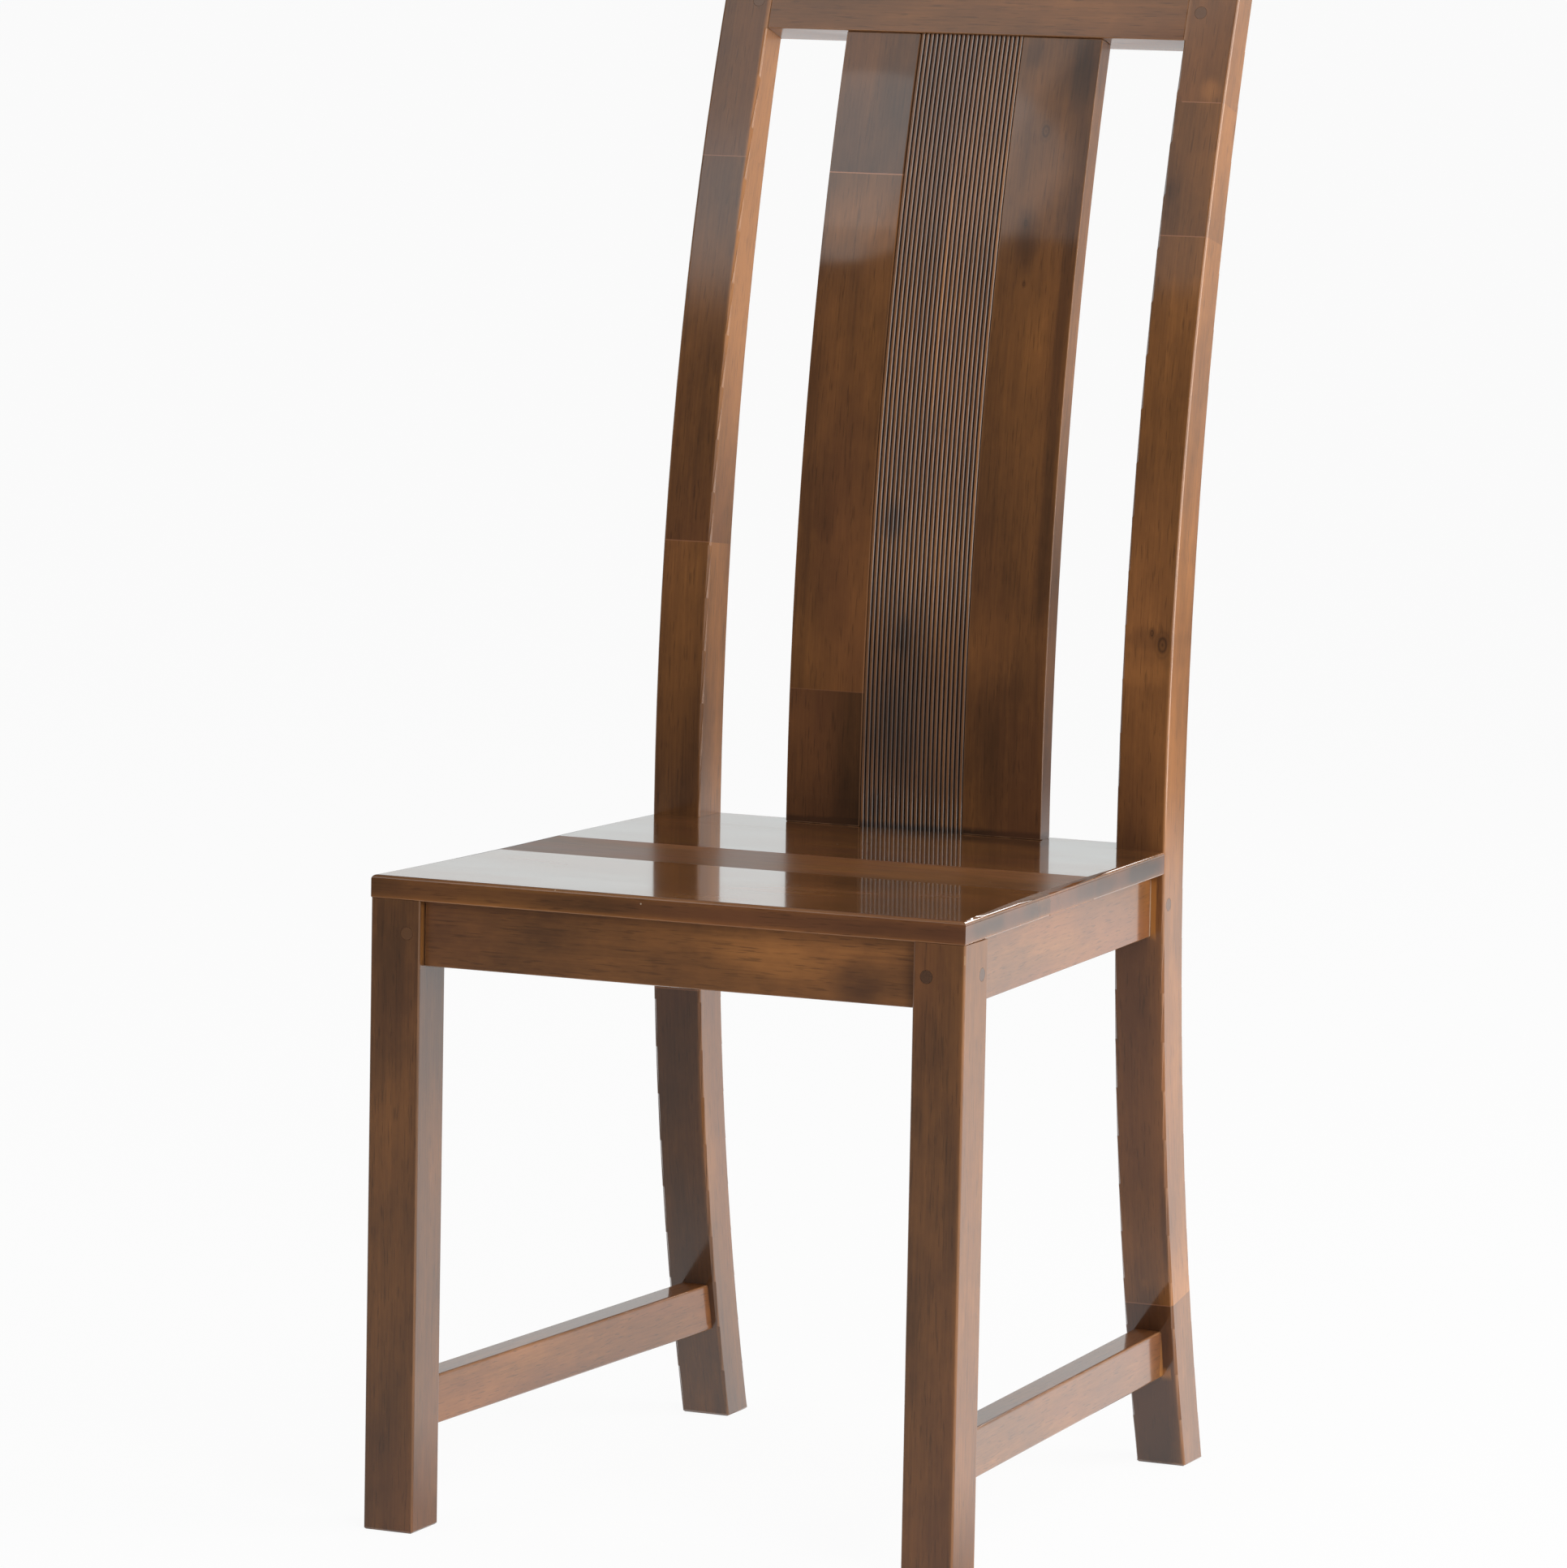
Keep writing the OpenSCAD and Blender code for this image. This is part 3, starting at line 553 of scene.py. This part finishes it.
class ChairStudio(bpy.types.PropertyGroup):
    """Light and floor around the chair."""
    fill: FloatProperty(name="Fill", description="Strength of the even light all round",
                        default=0.32, min=0.0, max=2.0)
    window: FloatProperty(name="Window", description="Power of the large lamp on the right",
                          default=92.0, min=0.0, max=1000.0, unit="POWER")
    side: FloatProperty(name="Side lamp", description="Power of the tall lamp at the front right",
                        default=40.0, min=0.0, max=1000.0, unit="POWER")
    softbox: FloatProperty(name="Softbox", description="Power of the high lamp in front",
                           default=5.6, min=0.0, max=1000.0, unit="POWER")
    veil: FloatProperty(name="Veil", description="Power of the wide dim lamp beside it",
                        default=7.2, min=0.0, max=1000.0, unit="POWER")
    round: FloatProperty(name="Round lamp",
                         description="Power of the small round lamp below them",
                         default=1.35, min=0.0, max=1000.0, unit="POWER")
    rim: FloatProperty(name="Rim lamp",
                       description="Power of the low wide lamp behind the chair",
                       default=10.0, min=0.0, max=1000.0, unit="POWER")
    floor: colour_setting("Floor", "Colour of the plain pale floor", (0.92, 0.92, 0.92))


# Pieces

RAIL_LOOK = {"tone": 0.60, "red": 0.5}


class CHAIR_OT_legs(bpy.types.Operator):
    """Lacquer the two front legs and the two bent rear posts"""
    bl_idname = "chair.legs"
    bl_label = "Legs and Posts"

    def execute(self, context):
        eased_copy("front_leg_left", "leg_left", 0,
                   wood("leg left wood", "Z", 1.0, {"tone": 0.43},
                        patches=((-0.204, 0.22, 0.03, 0.13, 0.08),
                                 (-0.205, 0.38, 0.016, 0.07, -0.14),
                                 (-0.204, 0.05, 0.03, 0.05, -0.05),
                                 # Painted shade: the next two darken the leg's inner side, most of
                                 # all up under the seat
                                 (-0.185, 0.37, 0.003, 0.13, -0.15),
                                 (-0.185, 0.10, 0.004, 0.16, -0.01),
                                 (-0.215, 0.43, 0.005, 0.03, -0.12)),
                        stains=(((-0.185, -0.2672, 0.421), (0.0006, 0.0025, 0.023),
                                 "amber", 0.4),)))
        eased_copy("front_leg_right", "leg_right", 0,
                   wood("leg right wood", "Z", 2.0, {"tone": 0.43},
                        # Painted light: the first two lighten the leg's outer side, which faces
                        # the lamps on the right
                        patches=((0.223, 0.24, 0.004, 0.30, 0.18),
                                 (0.223, 0.05, 0.004, 0.12, 0.10),
                                 (0.203, 0.40, 0.018, 0.07, -0.11),
                                 (0.203, 0.24, 0.02, 0.12, 0.05), (0.203, 0.06, 0.03, 0.08, 0.04)),
                        stains=(((0.2235, -0.2715, 0.434), (0.0012, 0.0012, 0.0030),
                                 "raw", 0.9),)))
        eased_copy("rear_post_left", "post_left", 0,
                   wood("post left wood", "post", 3.0, {"tone": 0.41, "coat_rough": 0.13},
                        staves=((-0.6, -0.06), (-0.136, 0.04), (0.196, 0.0), (0.4815, -0.03)),
                        lines=((-0.136, -1.0, -0.166, 0.3), (0.196, -1.0, -0.166, 0.3),
                               (0.4815, -1.0, -0.166, 0.3)),
                        # Painted light: the first three lighten the post's inner side, which faces
                        # the lamps on the right
                        patches=((-0.1645, 0.50, 0.004, 0.34, 0.60),
                                 (-0.1645, 0.12, 0.004, 0.28, 0.12),
                                 (-0.1645, -0.22, 0.004, 0.2, 0.36),
                                 (-0.184, 0.08, 0.02, 0.09, 0.10),
                                 (-0.187, -0.24, 0.022, 0.2, -0.10),
                                 (-0.184, 0.40, 0.02, 0.07, 0.06),
                                 (-0.184, 0.29, 0.02, 0.07, -0.06))),
                   skin=post_skin)
        eased_copy("rear_post_right", "post_right", 0,
                   wood("post right wood", "post", 4.0, {"tone": 0.52},
                        staves=((-0.6, -0.12), (-0.345, 0.08), (0.4355, 0.0), (0.534, 0.08)),
                        lines=((-0.345, -1.0, 0.2010, 0.3), (0.4355, -1.0, 0.2010, 0.35),
                               (0.534, 0.17, 0.200, 0.4)),
                        knots=((0.1945, 0.142, 0.005), (0.186, 0.150, 0.002)),
                        patches=((0.181, -0.42, 0.024, 0.12, -0.60),
                                 (0.181, -0.14, 0.024, 0.22, -0.30),
                                 # Painted light: the next four lighten the post's outer side,
                                 # which faces the lamps on the right
                                 (0.2030, -0.42, 0.004, 0.14, 0.36),
                                 (0.2030, -0.14, 0.004, 0.22, 0.12),
                                 (0.2030, 0.42, 0.004, 0.30, 0.19),
                                 (0.2030, 0.05, 0.004, 0.12, 0.14),
                                 (0.183, 0.07, 0.02, 0.08, 0.04),
                                 (0.190, 0.543, 0.010, 0.012, 0.26),
                                 (0.171, 0.468, 0.008, 0.012, -0.12),
                                 (0.183, 0.38, 0.02, 0.06, 0.05),
                                 (0.184, 0.146, 0.024, 0.010, -0.16),
                                 (0.184, 0.120, 0.024, 0.012, 0.12),
                                 (0.182, 0.26, 0.02, 0.06, -0.07),
                                 (0.1995, -0.28, 0.004, 0.05, -0.25)),
                        stains=(((0.1945, 0.1400, 0.418), (0.0022, 0.0020, 0.022),
                                 "amber", 0.6),
                                ((0.1940, 0.1910, 0.087), (0.0040, 0.0035, 0.020),
                                 "amber", 0.45))),
                   skin=post_skin)
        return {"FINISHED"}


class CHAIR_OT_rails(bpy.types.Operator):
    """Lacquer the four aprons and the two side stretchers"""
    bl_idname = "chair.rails"
    bl_label = "Aprons and Stretchers"

    def execute(self, context):
        ease = context.scene.chair_sizes.rail_ease
        eased_copy("front_apron", "apron_front", ease,
                   wood("front apron wood", "X", 5.0, {"tone": 0.54, "mottle": 0.3},
                        patches=((0.44, -0.175, 0.05, 0.03, -0.14),
                                 (0.42, -0.115, 0.05, 0.07, -0.20), (0.43, 0.09, 0.03, 0.08, 0.26),
                                 (0.41, 0.142, 0.022, 0.022, -0.24),
                                 (0.435, 0.0, 0.02, 0.06, 0.10),
                                 (0.40, -0.02, 0.012, 0.07, -0.04))))
        eased_copy("rear_apron", "apron_rear", ease,
                   wood("rear apron wood", "X", 6.0, {"tone": 0.44}))
        for number, side in enumerate(("left", "right")):
            out = 2 * number - 1
            eased_copy("side_apron_" + side, "apron_" + side, 0,
                       wood(f"side apron {side} wood", "Y", 7.0 + number, RAIL_LOOK,
                            stains=(((out * 0.1922, 0.1385, 0.418), (0.0010, 0.0012, 0.021),
                                     "dust", 0.6),)))
            eased_copy("side_stretcher_" + side, "stretcher_" + side, 0,
                       wood(f"stretcher {side} wood", "Y", 9.0 + number, RAIL_LOOK,
                            stains=(((out * 0.1905, 0.1850, 0.087), (0.0050, 0.0050, 0.020),
                                     "amber", 0.5),)))
        return {"FINISHED"}


class CHAIR_OT_back(bpy.types.Operator):
    """Lacquer the crest rail and the splat with its reeded strip"""
    bl_idname = "chair.back"
    bl_label = "Crest and Splat"

    def execute(self, context):
        ease = context.scene.chair_sizes.splat_ease
        # A patch all across, at the level where the splat stands on the seat
        foot_shade = (0.0, SEAT_TOP - BEND_LEVEL, 9.0, 0.006, -0.55)
        eased_copy("crest_rail", "crest", ease,
                   wood("crest wood", "X", 11.0, {"tone": 0.555},
                        patches=((1.05, 0.16, 0.05, 0.06, -0.09),)))
        eased_copy("splat_left_board", "splat_left", ease,
                   wood("splat left wood", "splat", 12.0, {"tone": 0.46, "coat_rough": 0.05},
                        staves=((-0.1, -0.19), (0.092, 0.0), (0.471, -0.14)),
                        lines=((0.092, -1.0, 1.0, 0.12), (0.471, -1.0, 1.0, 0.75)),
                        patches=((-0.072, 0.435, 0.05, 0.035, 0.22),
                                 (-0.095, 0.25, 0.012, 0.15, -0.10),
                                 (-0.055, 0.35, 0.016, 0.06, 0.12),
                                 (-0.077, 0.2164, 0.012, 0.02, -0.10),
                                 (-0.0505, 0.522, 0.02, 0.03, -0.12),
                                 (-0.082, 0.55, 0.02, 0.03, 0.08),
                                 (-0.06, 0.01, 0.05, 0.03, -0.12), foot_shade)))
        reeded_strip("splat_reeds",
                     wood("reeded wood", "splat", 13.0,
                          {"tone": 0.68, "grooved": True, "relief": 0.00002, "fibre": 0.12,
                           "streak": 0.5, "rough": 0.42, "specular": 0.3, "coat_rough": 0.12,
                           "coat_ior": 1.72, "pores": 0.25, "dash": 160.0},
                          patches=((-0.001, 0.39, 0.0022, 0.12, 0.34),
                                   (-0.0258, 0.219, 0.010, 0.018, -0.4),
                                   (-0.012, 0.135, 0.008, 0.02, -0.3),
                                   (-0.03, 0.01, 0.008, 0.015, -0.3),
                                   (-0.005, 0.55, 0.05, 0.10, -0.24),
                                   # Painted shade over the lower reeds down to the seat, then a
                                   # painted highlight along the rightmost reed
                                   (-0.005, 0.0, 0.05, 0.16, -0.2),
                                   (0.0372, 0.33, 0.0016, 0.32, 0.3),
                                   (0.012, 0.24, 0.016, 0.16, 0.08), foot_shade)))
        eased_copy("splat_right_board", "splat_right", ease,
                   wood("splat right wood", "splat", 14.0, {"tone": 0.44, "coat_rough": 0.06},
                        knots=((0.066, 0.507, 0.004), (0.062, 0.3945, 0.0015),
                               (0.0585, 0.439, 0.002)),
                        # A painted shadow along the board's right side, then two thin painted
                        # highlights along its right edge
                        patches=((0.094, 0.33, 0.007, 0.30, -0.20),
                                 (0.101, 0.42, 0.0012, 0.25, 0.30),
                                 (0.101, 0.10, 0.0012, 0.2, 0.05),
                                 (0.075, 0.04, 0.05, 0.10, -0.24),
                                 (0.0894, 0.555, 0.014, 0.04, -0.20),
                                 (0.0493, 0.565, 0.010, 0.016, -0.16),
                                 (0.062, 0.53, 0.014, 0.03, 0.10),
                                 (0.062, 0.43, 0.012, 0.03, -0.22),
                                 (0.075, 0.56, 0.04, 0.05, -0.10),
                                 (0.075, 0.35, 0.014, 0.04, 0.06), (0.075, 0.22, 0.03, 0.08, 0.03),
                                 foot_shade)))
        return {"FINISHED"}


class CHAIR_OT_seat(bpy.types.Operator):
    """Polish the seat's three boards, the middle one to satin"""
    bl_idname = "chair.seat"
    bl_label = "Seat Boards"

    def execute(self, context):
        ease = context.scene.chair_sizes.seat_ease
        lower = SEAT_TOP - 0.008
        gloss = {"tone": 0.59, "rough": 0.24, "coat_rough": 0.05, "red": 0.5, "relief": 0.00001,
                 "specks": 0.8, "specular": 0.05}
        # Across the height of the seat boards' edge faces: the first darkens them, partly their
        # own tone and partly a painted reflection darker at the top; the second is a painted
        # reflection, a lighter strip along their bottom. The last three change the tone along the
        # edge
        edges = ((0.4515, 0.0, 0.0085, 9.0, -0.31), (0.4435, 0.0, 0.003, 9.0, 0.20),
                 (0.4515, 0.215, 0.0085, 0.03, -0.18), (0.4515, 0.14, 0.0085, 0.10, -0.09),
                 (0.4515, -0.15, 0.0085, 0.12, 0.20))
        lacquer = wood("seat edge wood", "X", 18.0, gloss, patches=edges)
        satin = {"tone": 0.58, "rough": 0.38, "coat": 0.3, "coat_rough": 0.25, "red": 0.8,
                 "streak": 0.4, "pores": 0.5, "specks": 0.6}
        eased_copy("seat_front_board", "seat_front", ease,
                   wood("seat front wood", "X", 15.0, {**gloss, "coat_rough": 0.08},
                        patches=edges),
                   below=lower, crease=SEAT_CREASE, ways=seat_ways)
        middle = eased_copy("seat_middle_board", "seat_middle", 0,
                            wood("seat middle wood", "X", 16.0, satin), crease=SEAT_CREASE,
                            ways=seat_ways)
        middle.data.materials.append(lacquer)
        for face in middle.data.polygons:
            face.material_index = int(face.normal.z < 0.99)
        eased_copy("seat_rear_board", "seat_rear", ease,
                   wood("seat rear wood", "X", 17.0, {**gloss, "tone": 0.48}, patches=edges),
                   below=lower, crease=SEAT_CREASE, ways=seat_ways)
        return {"FINISHED"}


class CHAIR_OT_joinery(bpy.types.Operator):
    """Finish the pegs, the corner blocks and the screws"""
    bl_idname = "chair.joinery"
    bl_label = "Pegs, Blocks and Screws"

    def execute(self, context):
        stain = context.scene.chair_stain
        peg = Finish("peg end grain")
        rings = peg.noise(peg.object_co, (900.0, 900.0, 900.0), 3.0, 0.6)
        tint = peg.ramp(rings, ((0.3, stain.dark * 0.5), (0.7, stain.dark)))
        # The pegs on the left, in the crest rail and at the rear are paler
        paler = peg.math("MAXIMUM", peg.remap(peg.xyz[0], -0.05, 0.05, 0.6, 0.0),
                         peg.remap(peg.xyz[2], 0.9, 1.0, 0.0, 0.7))
        paler = peg.math("MAXIMUM", paler, peg.remap(peg.xyz[1], 0.0, 0.1, 0.0, 0.5))
        tint = peg.blend(paler, tint, stain.body * 0.75)
        peg_wood = peg.lacquer(tint, 0.35, 1.0, 0.1, rings, 0.0001)
        for node, name in (("front_apron_pegs", "pegs_front"),
                           ("front_leg_side_pegs", "pegs_leg_sides"),
                           ("rear_post_side_pegs", "pegs_post_sides"),
                           ("crest_pegs", "pegs_crest")):
            eased_copy(node, name, 0, peg_wood)
        raw = Finish("raw block wood")
        place = raw.vector("ADD", raw.object_co, (3.1, 1.7, 0.4))
        fibre = raw.noise(place, (160.0, 160.0, 12.0), 4.0, 0.6)
        bare = raw.ramp(fibre, ((0.25, stain.raw * 0.6), (0.7, stain.raw)))
        raw_wood = raw.lacquer(bare, 0.75, 0.0, 0.5, fibre, 0.0002)
        for corner in ("front_block_left", "front_block_right",
                       "rear_block_left", "rear_block_right"):
            eased_copy(corner, corner.replace("block", "corner_block"), BLOCK_EASE,
                       raw_wood, shortest=0.012)
        steel = Finish("plated steel")
        scuff = steel.noise(steel.object_co, (700.0, 700.0, 700.0), 3.0, 0.6)
        zinc = steel.ramp(scuff, ((0.3, stain.steel * 0.7), (0.7, stain.steel)))
        plated = steel.lacquer(zinc, steel.remap(scuff, 0.3, 0.7, 0.3, 0.45), 0.0, 0.3,
                               scuff, 0.00004, metal=1.0, specular=0.5)
        eased_copy("block_screws", "screws_blocks", 0, plated)
        eased_copy("seat_screws", "screws_seat", 0, plated)
        return {"FINISHED"}


# Studio

# Half the width of the floor, and the share of its own light in what is seen or mirrored of it
FLOOR_HALF = 60.0
GLOW_SHARE = 0.94

# Camera: the picture's long side and the focal length in pixels, its place and its turns
LONG_SIDE = 1932
FOCAL_PIXELS = 9703.614
SENSOR = 36.0
CAMERA_PLACE = Vector((2.251035, -5.060872, 1.184833))
CAMERA_TURN = math.radians(24.307)
CAMERA_DIP = math.radians(-6.954)
CAMERA_ROLL = math.radians(1.08)


class CHAIR_OT_studio(bpy.types.Operator):
    """Lay the pale floor, hang the lamps, light the surroundings and place the camera"""
    bl_idname = "chair.studio"
    bl_label = "Studio"

    def execute(self, context):
        studio = context.scene.chair_studio
        self.lay_floor(context, studio.floor)
        self.light_surroundings(context, studio.fill)
        self.hang_lamp(context, "window_lamp", (3.0, 0.7, 1.25), (0.0, 0.0, 0.62),
                       (2.6, 2.3), studio.window)
        self.hang_lamp(context, "side_lamp", (2.12, -2.0, 2.0), (0.0, 0.1, 0.8),
                       (1.1, 2.8), studio.side)
        self.hang_lamp(context, "softbox_lamp", (-2.148, -2.934, 3.11), (0.168, -0.126, 1.451),
                       (1.34, 1.85), studio.softbox)
        self.hang_lamp(context, "veil_lamp", (-2.0, -3.05, 3.16), (0.315, -0.242, 1.501),
                       (1.8, 1.83), studio.veil, roll=14.0)
        self.hang_lamp(context, "round_lamp", (-1.887, -3.40, 2.60), (0.441, -0.605, 0.961),
                       (0.66, 0.84), studio.round, shape="ELLIPSE")
        self.hang_lamp(context, "rim_lamp", (0.21, 3.95, 2.00), (0.21, 0.0, 0.45),
                       (1.5, 0.28), studio.rim)
        self.place_camera(context)
        context.scene.view_settings.view_transform = "Standard"
        return {"FINISHED"}

    def lay_floor(self, context, colour):
        """Wide pale sheet: it looks white, keeps the chair's shadow, and is mirrored in the
        lacquer by a painted glow that fades away from the lamps."""
        sheet = bmesh.new()
        bmesh.ops.create_grid(sheet, x_segments=1, y_segments=1, size=FLOOR_HALF)
        mesh = bpy.data.meshes.new("studio_floor")
        sheet.to_mesh(mesh)
        sheet.free()
        floor = bpy.data.objects.new("studio_floor", mesh)
        context.scene.collection.objects.link(floor)
        paint = Finish("pale floor")
        path = paint.node("LightPath").outputs
        ahead = paint.remap(paint.xyz[1], -3.9, -0.3, 0.02, 0.52)
        near = paint.remap(paint.xyz[1], -0.2, 0.1, 0.0, 0.55)
        beyond = paint.remap(paint.xyz[1], 3.1, 4.0, 1.0, 0.10)
        mirrored = paint.math("MULTIPLY", paint.math("ADD", ahead, near), beyond)
        mirrored = paint.math("MAXIMUM", mirrored, paint.remap(paint.xyz[0], 2.0, 4.0, 0.0, 0.5))
        gloss = paint.math("MAXIMUM", path["Is Glossy Ray"], path["Is Transmission Ray"])
        strength = paint.math("MAXIMUM", path["Is Camera Ray"], paint.math(
            "MULTIPLY", gloss, paint.math("DIVIDE", mirrored, GLOW_SHARE)))
        share = paint.math("MULTIPLY", paint.math("MAXIMUM", path["Is Camera Ray"], gloss),
                           GLOW_SHARE)
        matte = paint.node("BsdfDiffuse", (*colour, 1.0)).outputs[0]
        glow = paint.node("Emission", WHITE, strength).outputs[0]
        mix = paint.node("MixShader", share, matte, glow).outputs[0]
        paint.node("OutputMaterial", mix)
        mesh.materials.append(paint.material)

    def light_surroundings(self, context, fill):
        """White to the camera, an even fill for the wood, and mirrored by the lacquer as a
        bright room behind and beside the chair and a dark one above and in front."""
        world = bpy.data.worlds.new("studio surroundings")
        context.scene.world = world
        world.use_nodes = True
        sky = Nodes(world.node_tree)
        path = sky.node("LightPath").outputs
        way = sky.node("SeparateXYZ", sky.node("TexCoord").outputs["Generated"]).outputs
        behind = sky.remap(way[1], -0.35, 0.15, 0.05, 0.98)
        aside = sky.remap(way[0], 0.25, 0.85, 0.0, 0.9)
        above = sky.remap(way[2], 0.17, 0.24, 1.0, 0.22)
        mirrored = sky.math("MAXIMUM", sky.math("MULTIPLY", behind, above), aside)
        even = sky.node("Background", WHITE, fill).outputs[0]
        shown = sky.node("Background", MIRROR_WHITE, mirrored).outputs[0]
        bright = sky.node("Background", WHITE, 1.0).outputs[0]
        gloss = sky.math("MAXIMUM", path["Is Glossy Ray"], path["Is Transmission Ray"])
        lit = sky.node("MixShader", gloss, even, shown).outputs[0]
        seen = sky.node("MixShader", path["Is Camera Ray"], lit, bright).outputs[0]
        sky.node("OutputWorld", seen)

    def hang_lamp(self, context, name, place, target, size, power, roll=0.0,
                  shape="RECTANGLE"):
        """Area lamp at a place that faces its target; the camera doesn't see it."""
        lamp = bpy.data.lights.new(name, "AREA")
        lamp.shape = shape
        lamp.size, lamp.size_y = size
        lamp.energy = power
        hung = bpy.data.objects.new(name, lamp)
        context.scene.collection.objects.link(hung)
        hung.location = place
        hung.rotation_mode = "QUATERNION"
        aim = (Vector(target) - Vector(place)).to_track_quat("-Z", "Y")
        hung.rotation_quaternion = aim @ Quaternion((0.0, 0.0, 1.0), math.radians(roll))
        hung.visible_camera = False

    def place_camera(self, context):
        """Camera at its place, turned, dipped and rolled."""
        lens = bpy.data.cameras.new("camera")
        lens.sensor_width = SENSOR
        lens.lens = FOCAL_PIXELS * SENSOR / LONG_SIDE
        camera = bpy.data.objects.new("camera", lens)
        context.scene.collection.objects.link(camera)
        ahead = Vector((-math.sin(CAMERA_TURN) * math.cos(CAMERA_DIP),
                        math.cos(CAMERA_TURN) * math.cos(CAMERA_DIP), math.sin(CAMERA_DIP)))
        level = Vector((math.cos(CAMERA_TURN), math.sin(CAMERA_TURN), 0.0))
        upright = level.cross(ahead)
        right = math.cos(CAMERA_ROLL) * level + math.sin(CAMERA_ROLL) * upright
        up = math.cos(CAMERA_ROLL) * upright - math.sin(CAMERA_ROLL) * level
        turn = Matrix((right, up, -ahead)).transposed()
        camera.matrix_world = Matrix.Translation(CAMERA_PLACE) @ turn.to_4x4()
        context.scene.camera = camera


class CHAIR_PT_panel(bpy.types.Panel):
    """Sizes, colours and making of the chair"""
    bl_idname = "CHAIR_PT_panel"
    bl_label = "Dining Chair"
    bl_space_type = "VIEW_3D"
    bl_region_type = "UI"
    bl_category = "Chair"

    def draw(self, context):
        for group in (context.scene.chair_stain, context.scene.chair_sizes,
                      context.scene.chair_studio):
            box = self.layout.box()
            for name in group.bl_rna.properties.keys():
                if name not in ("rna_type", "name"):
                    box.prop(group, name)
        for operator in OPERATORS:
            self.layout.operator(operator.bl_idname)


OPERATORS = (CHAIR_OT_legs, CHAIR_OT_rails, CHAIR_OT_back, CHAIR_OT_seat, CHAIR_OT_joinery,
             CHAIR_OT_studio)
CLASSES = (ChairStain, ChairSizes, ChairStudio, *OPERATORS, CHAIR_PT_panel)


def register():
    for cls in CLASSES:
        bpy.utils.register_class(cls)
    bpy.types.Scene.chair_stain = PointerProperty(type=ChairStain)
    bpy.types.Scene.chair_sizes = PointerProperty(type=ChairSizes)
    bpy.types.Scene.chair_studio = PointerProperty(type=ChairStudio)


def unregister():
    del bpy.types.Scene.chair_stain
    del bpy.types.Scene.chair_sizes
    del bpy.types.Scene.chair_studio
    for cls in reversed(CLASSES):
        bpy.utils.unregister_class(cls)


def main():
    register()
    bpy.ops.chair.legs()
    bpy.ops.chair.rails()
    bpy.ops.chair.back()
    bpy.ops.chair.seat()
    bpy.ops.chair.joinery()
    bpy.ops.chair.studio()
    bpy.context.view_layer.update()


if __name__ == "__main__":
    main()
